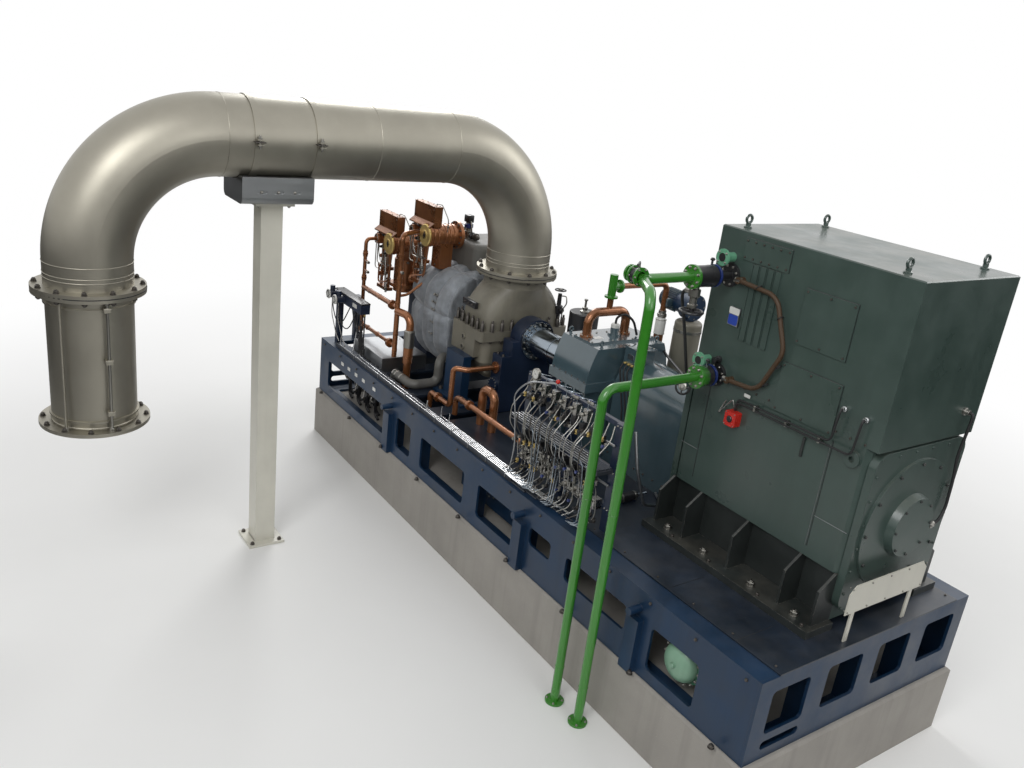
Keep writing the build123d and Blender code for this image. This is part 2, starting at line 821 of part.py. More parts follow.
with BuildPart() as vent_branch:
    branch_z = tee_foot + tee_branch
    bar((arch_x, arch_y, tee_foot), (arch_x, arch_y, tee_foot + pipe_flange), pipe_flange_diameter)
    bar((arch_x, arch_y, tee_foot), (arch_x, arch_y, tee_foot + tee_height), tee_diameter)
    bar((arch_x, arch_y, branch_z), (arch_x, arch_y + tee_reach, branch_z), tee_diameter)
    flange_y = arch_y + tee_reach - pipe_flange
    bar((arch_x, flange_y, branch_z), (arch_x, arch_y + tee_reach, branch_z), pipe_flange_diameter)
    branch = [(arch_x, flange_y, branch_z), (arch_x, branch_y, branch_z), (arch_x, branch_y, filter_top)]
    pipe(branch, oil_pipe, oil_pipe_bend)
    bar((arch_x, branch_y, filter_top), (arch_x, branch_y, filter_bottom), filter_diameter)
    bar((arch_x, branch_y, filter_bottom), (arch_x, branch_y, plate_top), thin_pipe)
keep(vent_branch, "vent_branch")

# Oil vapour extractor behind the gear: a pot on the deck with a motor and fan across its top
pot_place = (460, 920)
pot_diameter = 280
pot_stem = 170
pot_foot = level(1450)
pot_top = level(2060)
pot_crown = 40
motor_diameter = 200
motor_length = 320
fan_diameter = 270
fan_width = 120
fan_gap = 10
fan_neck = 100
with BuildPart() as vapour_pot:
    bar((*pot_place, plate_top), (*pot_place, plate_top + flange_plate), pot_diameter)
    bar((*pot_place, plate_top), (*pot_place, pot_foot), pot_stem)
    bar((*pot_place, pot_foot), (*pot_place, pot_top), pot_diameter)
    fillet(vapour_pot.faces().sort_by(Axis.Z)[-1].edges(), pot_crown)
keep(vapour_pot, "vapour_pot")

with BuildPart() as extractor_motor:
    motor_z = pot_top + fan_diameter / 2 + fan_gap
    x, y = pot_place
    bar((x - fan_width / 2, y, motor_z), (x - fan_width / 2 - motor_length, y, motor_z), motor_diameter)
    bar((x - fan_width / 2, y, motor_z), (x + fan_width / 2, y, motor_z), fan_diameter)
    bar((x, y, pot_top), (x, y, motor_z), fan_neck)
keep(extractor_motor, "extractor_motor")

# Black oil accumulator beside the coupling guard
accumulator_place = (-530, 370)
accumulator_top = 1890
accumulator_diameter = 320
accumulator_edge = 14
with BuildPart() as accumulator:
    bar((*accumulator_place, plate_top), (*accumulator_place, level(accumulator_top)), accumulator_diameter)
    fillet(accumulator.faces().sort_by(Axis.Z)[-1].edges(), accumulator_edge)
keep(accumulator, "accumulator")

# Generator housing
with BuildPart() as generator_housing:
    generator_far = generator_near + generator_width
    span = (generator_left, generator_right)
    block(span, (generator_near, generator_far), (level(side_panel_bottom), level(cooler_bottom)))
    inner_y = (generator_near + body_inset, generator_far - body_inset)
    block(span, inner_y, (plate_top + foot_rail, level(side_panel_bottom)))
    outer_corners = generator_housing.edges().filter_by(Axis.Z).group_by(Axis.Z)[-1]
    chamfer(outer_corners, housing_bevel)
    for side in (-1, 1):
        face = generator_y + side * generator_width / 2
        with BuildSketch(Plane.XZ.offset(-face)) as lug:
            with Locations((generator_right - lug_inset, level(cooler_bottom) - lug_inset)):
                Circle(lug_plate_diameter / 2)
                Circle(lug_hole / 2, mode=Mode.SUBTRACT)
        extrude(lug.sketch, amount=-side * lug_plate)
keep(generator_housing, "generator_housing")

# Cooler housing on top of it, with upright cable channels on its near side
with BuildPart() as cooler_housing:
    span = (generator_left, generator_right + cooler_overhang)
    block(span, (generator_near, generator_far), (level(cooler_bottom), level(generator_top)))
    chamfer(cooler_housing.faces().sort_by(Axis.Z)[-1].edges(), 8)
    for step in range(channel_count):
        x = generator_left + channel_start + step * channel_pitch
        channel_y = (generator_near - channel_rise, generator_near)
        block((x, x + channel_width), channel_y, (level(cooler_bottom + channel_foot), level(channel_top)))
keep(cooler_housing, "cooler_housing")

# End shields, the outer one with its round cover and the bearing cover
shield_bottom = side_panel_bottom - shield_rise


def end_shield(face, side):
    """The shield on the plane x = face. side is 1 at the outer end and -1 at the drive end."""
    with BuildPart() as built:
        shield_top = cooler_bottom - shield_inset
        with BuildSketch(Plane.YZ.offset(face)):
            with Locations((generator_y, level((shield_bottom + shield_top) / 2))):
                Rectangle(generator_width - 2 * shield_inset, shield_top - shield_bottom)
        extrude(amount=side * shield_plate)
        fillet(built.edges().filter_by(Axis.X), shield_corner)
        if side > 0:
            cover = face + shield_plate
            cover_end = cover + shield_cover_plate
            bar((cover, generator_y, shaft), (cover_end, generator_y, shaft), shield_diameter)
            with BuildSketch(Plane.YZ.offset(cover_end)) as bearing_cover:
                with Locations((generator_y, shaft)):
                    Circle(bearing_cover_diameter / 2)
            extrude(bearing_cover.sketch, amount=bearing_cover_depth, taper=bearing_cover_taper)
    return built


keep(end_shield(generator_right, 1), "outer_end_shield")
keep(end_shield(generator_left, -1), "drive_end_shield")

# Foot rails with gussets that flare out from under the side panels
gusset_offsets = (10, 335, 845, 1365, generator_length - 10)
rail_top = plate_top + foot_rail


def foot_side(side):
    """side is -1 on the operating side and 1 on the far side."""
    panel = generator_y + side * generator_width / 2
    inner = panel - side * body_inset
    flare = panel + side * gusset_flare
    with BuildPart() as built:
        rail_y = sorted((inner, inner + side * foot_rail_width))
        rail_x = (generator_left - rail_overhang, generator_right + rail_overhang)
        block(rail_x, rail_y, (plate_top, rail_top))
        for offset in gusset_offsets:
            with BuildSketch(Plane.YZ.offset(generator_left + offset - gusset_plate / 2)) as plate:
                with BuildLine():
                    Polyline(
                        (inner, rail_top),
                        (flare, rail_top),
                        (flare, level(side_panel_bottom - gusset_drop)),
                        (panel, level(side_panel_bottom)),
                        (inner, level(side_panel_bottom)),
                        close=True,
                    )
                make_face()
            extrude(plate.sketch, amount=gusset_plate)
    return built


keep(foot_side(-1), "near_feet")
keep(foot_side(1), "far_feet")

# Hatch covers and the terminal plate on the near side. Each is its left and right end from the housing's
# drive end, its bottom and its top.
hatches = ((885, 1325, 2655, 3065), (830, 1360, 2115, 2495), (260, 700, 3120, 3290))
hatch_plate = 10
with BuildPart() as hatch_covers:
    for left, right, bottom, top in hatches:
        ends = (generator_left + left, generator_left + right)
        block(ends, (generator_near - hatch_plate, generator_near), (level(bottom), level(top)))
keep(hatch_covers, "hatch_covers")

# Call box: its left and right end from the housing's drive end, its bottom and its top
call_box_x = (455, 565)
call_box_z = (1850, 1970)
call_box_depth = 70
call_box_corner = 15
with BuildPart() as call_box:
    ends = [generator_left + offset for offset in call_box_x]
    heights = [level(height) for height in call_box_z]
    block(ends, (generator_near - call_box_depth, generator_near), heights)
    fillet(call_box.edges().filter_by(Axis.Y), call_box_corner)
keep(call_box, "call_box")

# Open cooler flanges beside the nozzles
vent_reach = 120
vent_flange_diameter = 130
vent_pipe = 74
vent_bore = 50
vent_places = ((generator_left + 160, 3112), (generator_left + 122, 2268))
with BuildPart() as vent_flanges:
    for x, height in vent_places:
        z = level(height)
        for diameter, back in ((vent_pipe, 0), (vent_flange_diameter, vent_reach - pipe_flange)):
            with BuildSketch(Plane.XZ.offset(back - generator_near)) as ring:
                with Locations((x, z)):
                    Circle(diameter / 2)
                    Circle(vent_bore / 2, mode=Mode.SUBTRACT)
            extrude(ring.sketch, amount=vent_reach - back)
keep(vent_flanges, "vent_flanges")

# Blank board at the foot of the end shield, on two posts
board_plate = 8
board_gap = 120
board_post = (12, 40)
board_post_insets = (90, 90)
board_x = generator_right + shield_plate + board_gap
board_height = 230
board_bottom = 965
board_y = (-430, 500)
board_corner = 60
with BuildPart() as end_board:
    board_top = board_bottom + board_height
    block((board_x, board_x + board_plate), board_y, (level(board_bottom), level(board_top)))
    chamfer(end_board.edges().filter_by(Axis.X).group_by(Axis.Z)[-1], board_corner)
    thickness, width = board_post
    for y in (board_y[0] + board_post_insets[0], board_y[1] - board_post_insets[1] - width):
        block((board_x - thickness, board_x), (y, y + width), (plate_top, level(board_top - board_corner)))
keep(end_board, "end_board")

# Exhaust duct: drop to the turbine, two bends, the run between them and the leg
leg_y = -duct_reach


def duct_flange(y, z):
    """Add one drilled flange, standing on the plane z, to the piece being built."""
    with BuildSketch(Plane.XY.offset(z)) as ring:
        with Locations((turbine_x, y)):
            Circle(duct_flange_diameter / 2)
            with PolarLocations(duct_bolt_circle / 2, duct_bolt_count, start_angle=15):
                Circle(duct_bolt_hole / 2, mode=Mode.SUBTRACT)
    extrude(ring.sketch, amount=duct_flange_plate)


def duct_elbow(y, towards):
    """A flanged leg at y and the quarter bend on it. towards is -1 or 1, the way the run leaves it."""
    with BuildPart() as built:
        duct_flange(y, duct_foot)
        bar((turbine_x, y, duct_foot), (turbine_x, y, straight_top), duct_diameter)
        with BuildSketch(Plane.XY.offset(straight_top)):
            with Locations((turbine_x, y)):
                Circle(duct_radius)
        hinge = Axis((turbine_x, y + towards * duct_bend, straight_top), (1, 0, 0))
        revolve(axis=hinge, revolution_arc=towards * -90)
    return built


keep(duct_elbow(0, -1), "duct_turbine_elbow")
keep(duct_elbow(leg_y, 1), "duct_outer_elbow")

with BuildPart() as duct_run:
    bar((turbine_x, leg_y + duct_bend, duct_z), (turbine_x, -duct_bend, duct_z), duct_diameter)
keep(duct_run, "duct_run")

# Expansion joint under the outer leg, with its two flanges, weld rings and tie rod
joint_bottom = duct_foot - expansion_length
with BuildPart() as expansion_joint:
    duct_flange(leg_y, duct_foot - duct_flange_plate)
    duct_flange(leg_y, joint_bottom)
    sleeve = (joint_bottom + duct_flange_plate, duct_foot - duct_flange_plate)
    bar((turbine_x, leg_y, sleeve[0]), (turbine_x, leg_y, sleeve[1]), expansion_diameter)
    for z in (sleeve[0] + 60, sleeve[1] - 90):
        bar((turbine_x, leg_y, z), (turbine_x, leg_y, z + expansion_ring), expansion_diameter + 30)
    rod_x = turbine_x + expansion_diameter / 2 * 0.8
    rod_y = leg_y - expansion_diameter / 2 * 0.8
    bar((rod_x, rod_y, sleeve[0]), (rod_x, rod_y, sleeve[1]), tie_rod_diameter)
keep(expansion_joint, "expansion_joint")

# Clamp bands round the run, each a ring with a pair of bolted ears on the +X side
band_inner = duct_radius + clamp_gap
band_outer = band_inner + clamp_plate
ear_gap = 20
with BuildPart() as duct_clamps:
    for offset in clamp_offsets:
        y = column_y + offset
        with BuildSketch(Plane.XZ.offset(-y - clamp_width / 2)) as band:
            with Locations((turbine_x, duct_z)):
                Circle(band_outer)
                Circle(band_inner, mode=Mode.SUBTRACT)
            for side in (-1, 1):
                with Locations((turbine_x + band_inner + ear_reach / 2, duct_z + side * ear_gap)):
                    Rectangle(ear_reach, clamp_plate)
        extrude(band.sketch, amount=clamp_width)
keep(duct_clamps, "duct_clamps")

# Saddle under the bands with slotted sides, and the column
saddle_z = duct_z - duct_radius - saddle_drop
with BuildPart() as duct_saddle:
    half_x = saddle_width / 2
    half_y = saddle_length / 2
    saddle_top = duct_z - duct_radius + saddle_seat
    saddle_x = (turbine_x - half_x, turbine_x + half_x)
    block(saddle_x, (column_y - half_y, column_y + half_y), (saddle_z, saddle_top))
    lower = duct_saddle.edges().filter_by(Axis.Y).group_by(Axis.Z)[0]
    fillet(lower, saddle_corner)
    seat_start = (turbine_x, column_y - half_y - 1, duct_z)
    with BuildSketch(Plane.XZ.offset(-seat_start[1])) as seat:
        with Locations((turbine_x, duct_z)):
            Circle(band_outer + clamp_gap)
    extrude(seat.sketch, amount=-saddle_length - 2, mode=Mode.SUBTRACT)
    with BuildSketch(Plane.YZ.offset(turbine_x + half_x)) as slots:
        with Locations(*[(column_y + step * slot_pitch, saddle_z + slot_level) for step in (-1, 0, 1)]):
            SlotOverall(slot_length, slot_width)
    extrude(slots.sketch, amount=-slot_depth, mode=Mode.SUBTRACT)
keep(duct_saddle, "duct_saddle")

with BuildPart() as duct_column:
    column_top = saddle_z - base_plate
    lengths = ((column_width, base_plate, column_top), (base_plate_width, 0, base_plate))
    for width, low, high in (*lengths, (base_plate_width, column_top, saddle_z)):
        half = width / 2
        block((turbine_x - half, turbine_x + half), (column_y - half, column_y + half), (low, high))
keep(duct_column, "duct_column")

# Cooling water risers: an upright and an arm each, with the flanged spool at the generator
nozzle_x = generator_left + nozzle_offset
supply_x = generator_left + supply_offset
return_x = generator_left + return_offset
supply_z = level(supply_nozzle_height)
return_z = level(return_nozzle_height)
with BuildPart() as supply_riser:
    riser = (supply_x, supply_riser_y)
    arm_end = (supply_x, generator_near - supply_reach, supply_z)
    pipe([(*riser, 0), (*riser, supply_z), arm_end], riser_diameter, riser_bend)
keep(supply_riser, "supply_riser")

with BuildPart() as return_riser:
    riser = (return_x, return_riser_y)
    cross_y = return_riser_y + return_cross
    arm = [(nozzle_x, cross_y, return_z), (nozzle_x, generator_near - return_reach, return_z)]
    pipe([(*riser, 0), (*riser, return_z), *arm], riser_diameter, riser_bend)
    stub = (nozzle_x - stub_reach, cross_y - riser_diameter / 4, return_z + riser_diameter / 4)
    bar((nozzle_x + riser_diameter / 2, cross_y, return_z), stub, riser_diameter)
    stub_flange = (nozzle_x - stub_reach + stub_plate, stub[1], stub[2])
    bar(stub_flange, stub, stub_diameter)
keep(return_riser, "return_riser")


def nozzle(x, z, reach):
    """The flanged spool with its valve between a riser's arm and the cooler housing."""
    start = generator_near - reach
    with BuildPart() as built:
        bar((x, start, z), (x, generator_near, z), riser_diameter)
        bar((x, start, z), (x, start + riser_flange, z), riser_flange_diameter)
        bar((x, generator_near - riser_flange, z), (x, generator_near, z), riser_flange_diameter)
        bar((x, start + riser_flange, z), (x, start + reach / 2, z), riser_valve_diameter)
    return built


keep(nozzle(supply_x, supply_z, supply_reach), "supply_nozzle")
keep(nozzle(nozzle_x, return_z, return_reach), "return_nozzle")

# Braided hose between the two cooler connections, a loop held against the housing
hose_diameter = 36
hose_gap = 45
hose_bend = 150
hose_socket_diameter = 52
hose_socket_lip = 4
hose_y = generator_near - hose_gap
hose_x = nozzle_x + 130
hose_high = return_z - 10
hose_low = supply_z + 10
with BuildPart() as vent_hose:
    hose_route = [
        (hose_x, hose_y, hose_high),
        (hose_x + 380, hose_y, hose_high - 20),
        (hose_x + 540, hose_y, hose_high - 400),
        (hose_x + 380, hose_y, hose_low + 20),
        (hose_x + 90, hose_y, hose_low),
    ]
    pipe(hose_route, hose_diameter, hose_bend)
    for x, z in ((hose_x, hose_high), (hose_x + 90, hose_low)):
        socket_end = (x, hose_y - hose_diameter / 2 - hose_socket_lip, z)
        bar((x, generator_near, z), socket_end, hose_socket_diameter)
keep(vent_hose, "vent_hose")

# Tray of tubes and cables along the near girder
tray_ends = (turbine_end + 370, 650)
tray_inset = 90
tray_width = 110
tray_rise = 45
tray_tubes = 5
tray_tube_reach = 220
tray_tube_step = 150
tube_diameter = 16
with BuildPart() as cable_tray:
    tray_y = near + tray_inset
    block(tray_ends, (tray_y - tray_width / 2, tray_y + tray_width / 2), (deck, deck + tray_rise))
    for tube in range(tray_tubes):
        y = tray_y - tray_width / 2 + (tube + 0.5) * tray_width / tray_tubes
        tube_z = deck + tube_diameter / 2
        tube_end = tray_ends[1] + tray_tube_reach + tray_tube_step * tube
        bar((tray_ends[1], y, tube_z), (tube_end, y, tube_z), tube_diameter)
keep(cable_tray, "cable_tray")

# Instrument rack at the near edge: posts, rails, a comb of tubes and the valve blocks
rack_x = (420, 1750)
rack_y = -950
rack_top = 1690
rack_post = 80
rack_rail = 40
rack_posts = (rack_x[0], (rack_x[0] + rack_x[1] - rack_post) / 2, rack_x[1] - rack_post)
comb_height = 1300
comb_tubes = 8
comb_pitch = 22
comb_inset = 40
comb_back = rack_y - rack_post / 2
comb_z = level(comb_height)
clip_width = 30
clip_bite = 2
rail_heights = (900, comb_height - 60, rack_top - rack_rail)
with BuildPart() as instrument_rack:
    for x in rack_posts:
        ends_y = (rack_y - rack_post / 2, rack_y + rack_post / 2)
        block((x, x + rack_post), ends_y, (plate_top, level(rack_top)))
    for height in rail_heights:
        ends_y = (rack_y - rack_rail / 2, rack_y + rack_rail / 2)
        block(rack_x, ends_y, (level(height), level(height + rack_rail)))
keep(instrument_rack, "instrument_rack")

with BuildPart() as rack_tubes:
    for tube in range(comb_tubes):
        y = comb_back - (tube + 0.5) * comb_pitch
        bar((rack_x[0] + comb_inset, y, comb_z), (rack_x[1] - comb_inset, y, comb_z), tube_diameter)
    for x in rack_posts:
        clip = (x + rack_post / 2 - clip_width / 2, x + rack_post / 2 + clip_width / 2)
        clip_top = comb_z - tube_diameter / 2 + clip_bite
        block(clip, (comb_back - comb_tubes * comb_pitch, comb_back), (clip_top - clip_width, clip_top))
keep(rack_tubes, "rack_tubes")

# Rows of valve blocks on the rails: how many, the first one's place, their pitch, width and depth, and
# the bottom and top of each
valve_rows = (
    (5, 130, 105, 70, 90, 880, 960),
    (5, 140, 105, 50, 70, 960, 1040),
    (4, 790, 115, 75, 80, 885, 975),
    (6, 120, 150, 60, 60, rack_top - 130, rack_top - 20),
)
with BuildPart() as valve_blocks:
    front = rack_y - rack_rail / 2
    for count, first, pitch, width, depth, bottom, top in valve_rows:
        for step in range(count):
            x = rack_x[0] + first + step * pitch
            block((x, x + width), (front - depth, front), (level(bottom), level(top)))
    add(instrument_rack.part, mode=Mode.SUBTRACT)
keep(valve_blocks, "valve_blocks")

# Low oil pipes at the near side: the feed to the rear bearing, and the drain runs into the deck
feed_y = -900
feed_x = pedestal_left - 20
feed_start = feed_x - 430
feed_depth = 200
feed_height = 765
feed_top = 1200
feed_bend = 50
feed_turn = 110
drain_height = 920
drain_start = feed_x + 110
drain_end = 380
low_flange_places = ((feed_start + 150, feed_height), (drain_start + 250, drain_height))
drain_loop = (feed_x + 420, feed_y + 130)
drain_loop_width = 220
drain_loop_top = 1120
with BuildPart() as oil_supply_pipes:
    bearing_y = -pedestal_width / 2
    feed = [
        (feed_start, feed_y, level(feed_height - feed_depth)),
        (feed_start, feed_y, level(feed_height)),
        (feed_x, feed_y, level(feed_height)),
        (feed_x, feed_y, level(feed_top)),
        (pedestal_middle, feed_y + feed_turn, level(feed_top)),
        (pedestal_middle, bearing_y, level(feed_top)),
    ]
    pipe(feed, oil_pipe, feed_bend)
    flange_start = (pedestal_middle, bearing_y - pipe_flange, level(feed_top))
    bar(flange_start, feed[-1], pipe_flange_diameter)
    for x, height in low_flange_places:
        z = level(height)
        bar((x, feed_y, z), (x + 2 * pipe_flange, feed_y, z), low_flange_diameter)
    run = [(drain_start, feed_y, plate_top), (drain_start, feed_y, level(drain_height))]
    run += [(drain_end, feed_y, level(drain_height)), (drain_end, feed_y, plate_top)]
    pipe(run, oil_pipe, oil_pipe_bend)
    x, y = drain_loop
    right = x + drain_loop_width
    loop_z = level(drain_loop_top)
    loop = [(x, y, plate_top), (x, y, loop_z), (right, y, loop_z), (right, y, plate_top)]
    pipe(loop, thick_pipe, thick_pipe)
keep(oil_supply_pipes, "oil_supply_pipes")

# Insulated drain pipe round the open bay, from under the turbine casing down through the deck
drain_diameter = 105
drain_bend = 90
drain_z = level(760)
drain_foot_z = level(500)
drain_y = near + flange_reach + drain_diameter / 2 + 10
drain_rise_y = -665
drain_x = (casing_middle + 50, casing_middle + 468)
drain_casing_z = level(1030)
drain_casing_end = (casing_middle + 300, -450, drain_casing_z)
with BuildPart() as insulated_drain:
    left, right = drain_x
    low = [(left, drain_y, drain_foot_z), (left, drain_y, drain_z), (right, drain_y, drain_z)]
    rise = (right, drain_rise_y)
    high = [(*rise, drain_z), (*rise, drain_casing_z), drain_casing_end]
    pipe([*low, *high], drain_diameter, drain_bend)
    add(insulated_casing.part, mode=Mode.SUBTRACT)
keep(insulated_drain, "insulated_drain")

# Terminal stand at the near corner of the turbine end: two posts, the box they carry, two transmitters
stand_post = 70
stand_near = (turbine_end + 230, -1120)
stand_far = (turbine_end + 130, -840)
stand_top = 1280
stand_box = (760, 120, 120)
transmitter_places = ((60, 75), (250, 55))
transmitter_diameter = 95
transmitter_depth = 110
transmitter_neck = (60, 60, 105)
with BuildPart() as terminal_stand:
    box_x = stand_near[0] - stand_post / 2
    box_y = stand_near[1] - stand_box[1] / 2
    box_z = level(stand_top)
    for x, y in (stand_near, stand_far):
        half = stand_post / 2
        block((x - half, x + half), (y - half, y + half), (deck, box_z))
    block((box_x, box_x + stand_box[0]), (box_y, box_y + stand_box[1]), (box_z, box_z + stand_box[2]))
    shelf = (stand_far[0] - half, stand_near[0] + half)
    block(shelf, (box_y, stand_far[1] + half), (box_z - flange_plate, box_z))
    neck_y, neck_wide, neck_rise = transmitter_neck
    for along, rise in transmitter_places:
        x = box_x + along
        z = box_z + rise
        bar((x, box_y, z), (x, box_y - transmitter_depth, z), transmitter_diameter)
        bar((x, box_y - neck_y, z), (x, box_y - neck_y, z + neck_rise), neck_wide)
keep(terminal_stand, "terminal_stand")
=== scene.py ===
"""Steam turbine generator: finishes, fasteners, gauges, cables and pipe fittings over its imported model.

Metres, in the model's own frame: X along the shaft towards the generator end, Y away from the
operating side, Z up from the ground.
"""

import itertools
import json
import math
import random

import bmesh
import bpy
from mathutils import Matrix, Vector, noise


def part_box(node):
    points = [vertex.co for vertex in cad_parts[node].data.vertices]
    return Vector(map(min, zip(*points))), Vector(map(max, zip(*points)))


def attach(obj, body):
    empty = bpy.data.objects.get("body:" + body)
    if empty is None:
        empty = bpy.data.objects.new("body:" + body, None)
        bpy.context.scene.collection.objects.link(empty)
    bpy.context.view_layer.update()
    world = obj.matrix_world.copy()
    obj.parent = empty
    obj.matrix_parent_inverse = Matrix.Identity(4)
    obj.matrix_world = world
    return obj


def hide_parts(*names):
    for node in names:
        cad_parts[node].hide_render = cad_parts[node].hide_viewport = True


bl_info = {
    "name": "Steam Turbine Generator",
    "version": (1, 0, 0),
    "blender": (4, 5, 0),
    "location": "View3D > Sidebar > Turbine",
    "description": "Finishes and small parts of a geared steam turbine generator",
    "category": "Object",
}

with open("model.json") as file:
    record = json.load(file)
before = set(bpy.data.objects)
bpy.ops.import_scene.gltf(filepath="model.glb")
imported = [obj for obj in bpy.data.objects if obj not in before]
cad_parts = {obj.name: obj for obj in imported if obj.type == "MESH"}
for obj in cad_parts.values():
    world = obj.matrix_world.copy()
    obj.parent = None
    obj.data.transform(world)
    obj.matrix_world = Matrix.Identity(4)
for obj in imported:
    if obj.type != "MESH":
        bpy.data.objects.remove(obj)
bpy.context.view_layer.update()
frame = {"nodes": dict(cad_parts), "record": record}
nodes = frame["nodes"]


def colour(name, words, default):
    """A colour that the user may change."""
    return bpy.props.FloatVectorProperty(
        name=name, description=words, subtype="COLOR", size=3, min=0, max=1, default=default
    )


def length(name, words, default):
    """A length that the user may change."""
    return bpy.props.FloatProperty(
        name=name, description=words, unit="LENGTH", subtype="DISTANCE", default=default
    )


def angle(name, words, degrees):
    """An angle that the user may change."""
    return bpy.props.FloatProperty(
        name=name, description=words, unit="ROTATION", subtype="ANGLE", default=math.radians(degrees)
    )


class FinishColours(bpy.types.PropertyGroup):
    """The colours of the paints and metals."""

    frame_blue: colour("Frame", "Enamel of the base frame", (0.004, 0.024, 0.062))
    deck_blue: colour("Deck", "Oiled enamel of the deck", (0.010, 0.017, 0.030))
    pedestal_blue: colour("Pedestals", "Enamel of pedestals, feet and posts", (0.008, 0.018, 0.045))
    generator_grey: colour("Generator", "Enamel of the generator's housings", (0.048, 0.076, 0.066))
    casing_grey: colour("Casing", "Heat-resisting paint of the exhaust casing", (0.175, 0.163, 0.128))
    gear_teal: colour("Gear", "Enamel of the gearbox and the coupling guards", (0.06, 0.10, 0.12))
    actuator_brown: colour("Valve gear", "Copper-brown enamel of valves and oil pipes", (0.28, 0.108, 0.04))
    pipe_green: colour("Water pipes", "Gloss enamel of the risers", (0.035, 0.21, 0.018))
    jade_green: colour("Flanges", "Pale enamel of the open flanges and the oil cooler", (0.13, 0.36, 0.22))
    signal_red: colour("Call box", "Moulded plastic of the call box", (0.55, 0.02, 0.012))
    board_white: colour("Board and column", "White enamel", (0.60, 0.585, 0.51))
    duct_steel: colour("Duct", "Bead-blasted stainless steel", (0.37, 0.35, 0.295))
    sheet_metal: colour("Sheet", "Bright rolled aluminium", (0.36, 0.37, 0.38))
    tube_metal: colour("Tubes", "Drawn stainless tube", (0.46, 0.45, 0.43))
    cloth: colour("Insulation", "Coated glass cloth", (0.24, 0.26, 0.285))
    chest_grey: colour("Chest", "Smooth coating of the steam chest and the drain", (0.12, 0.118, 0.108))
    concrete: colour("Concrete", "Cast concrete", (0.36, 0.34, 0.31))
    dust: colour("Dust", "Dust on faces that look up", (0.30, 0.27, 0.22))


class CameraPlace(bpy.types.PropertyGroup):
    """Where the photograph was taken from."""

    azimuth: angle("Azimuth", "Turn about the vertical, from the operating side", 53.81)
    elevation: angle("Elevation", "Height of the view above level", 20.03)
    roll: angle("Roll", "Turn of the picture about the line of sight", 7.05)
    place: bpy.props.FloatVectorProperty(
        name="Place", description="The camera's position", subtype="TRANSLATION", size=3,
        default=(6.55, -5.65, 4.95),
    )
    lens: bpy.props.FloatProperty(
        name="Lens", description="Focal length on a 36 mm frame", unit="CAMERA", default=31.32
    )


# Shader helpers. A material's maker gets its node tree through Shade, which adds and joins nodes.
class Shade:
    """A material with one Principled shader, and short calls that add the nodes feeding it."""

    def __init__(self, name, base, roughness, metallic=0.0):
        self.material = bpy.data.materials.new(name)
        self.material.use_nodes = True
        self.tree = self.material.node_tree
        self.shader = self.tree.nodes["Principled BSDF"]
        self.set_input("Base Color", (*base, 1))
        self.set_input("Roughness", roughness)
        self.set_input("Metallic", metallic)
        self.place = self.node("ShaderNodeTexCoord").outputs["Object"]

    def node(self, kind, **values):
        """A node, with its settings and the values of its named inputs."""
        made = self.tree.nodes.new(kind)
        for key, value in values.items():
            if key in made.inputs:
                made.inputs[key].default_value = value
            else:
                setattr(made, key, value)
        return made

    def join(self, source, target):
        """A link from an output to an input."""
        self.tree.links.new(source, target)

    def feed(self, name, source):
        """Join an output to an input of the Principled shader."""
        self.join(source, self.shader.inputs[name])

    def set_input(self, name, value):
        """Set an input of the Principled shader."""
        self.shader.inputs[name].default_value = value

    def group(self, tree, **values):
        """A shader group, with its values."""
        made = self.tree.nodes.new("ShaderNodeGroup")
        made.node_tree = tree
        self.join(self.place, made.inputs["Place"])
        for key, value in values.items():
            made.inputs[key.replace("_", " ").capitalize()].default_value = value
        return made

    def mix(self, mask, first, second):
        """The colour first where mask is 0 and second where it is 1. Each is a colour or an output."""
        made = self.tree.nodes.new("ShaderNodeMix")
        made.data_type = "RGBA"
        self.join(mask, made.inputs[0])
        for socket, value in ((made.inputs[6], first), (made.inputs[7], second)):
            if isinstance(value, bpy.types.NodeSocket):
                self.join(value, socket)
            else:
                socket.default_value = (*value, 1)
        return made.outputs[2]

    def spread(self, mask, low, high):
        """mask from 0 to 1 spread over low to high."""
        made = self.node("ShaderNodeMapRange")
        self.join(mask, made.inputs["Value"])
        made.inputs["To Min"].default_value = low
        made.inputs["To Max"].default_value = high
        return made.outputs["Result"]

    def bump(self, height, strength, distance, rounded=0.0):
        """Bump the surface by height. rounded softens the piece's edges over that radius."""
        made = self.node("ShaderNodeBump", Strength=strength, Distance=distance)
        self.join(height, made.inputs["Height"])
        if rounded:
            soft = self.node("ShaderNodeBevel", samples=4, Radius=rounded)
            self.join(soft.outputs["Normal"], made.inputs["Normal"])
        self.feed("Normal", made.outputs["Normal"])


def new_group(name, inputs, outputs):
    """An empty shader group with a vector input Place and number inputs, and number outputs."""
    tree = bpy.data.node_groups.new(name, "ShaderNodeTree")
    tree.interface.new_socket("Place", in_out="INPUT", socket_type="NodeSocketVector")
    for socket, default in inputs:
        made = tree.interface.new_socket(socket, in_out="INPUT", socket_type="NodeSocketFloat")
        made.default_value = default
    for socket in outputs:
        tree.interface.new_socket(socket, in_out="OUTPUT", socket_type="NodeSocketFloat")
    start = tree.nodes.new("NodeGroupInput")
    end = tree.nodes.new("NodeGroupOutput")
    return tree, start.outputs, end.inputs


def math_node(tree, operation, *values):
    """A math node whose inputs are numbers or outputs. Returns its output."""
    made = tree.nodes.new("ShaderNodeMath")
    made.operation = operation
    made.use_clamp = operation == "MULTIPLY_ADD"
    for socket, value in zip(made.inputs, values):
        if isinstance(value, bpy.types.NodeSocket):
            tree.links.new(value, socket)
        else:
            socket.default_value = value
    return made.outputs[0]


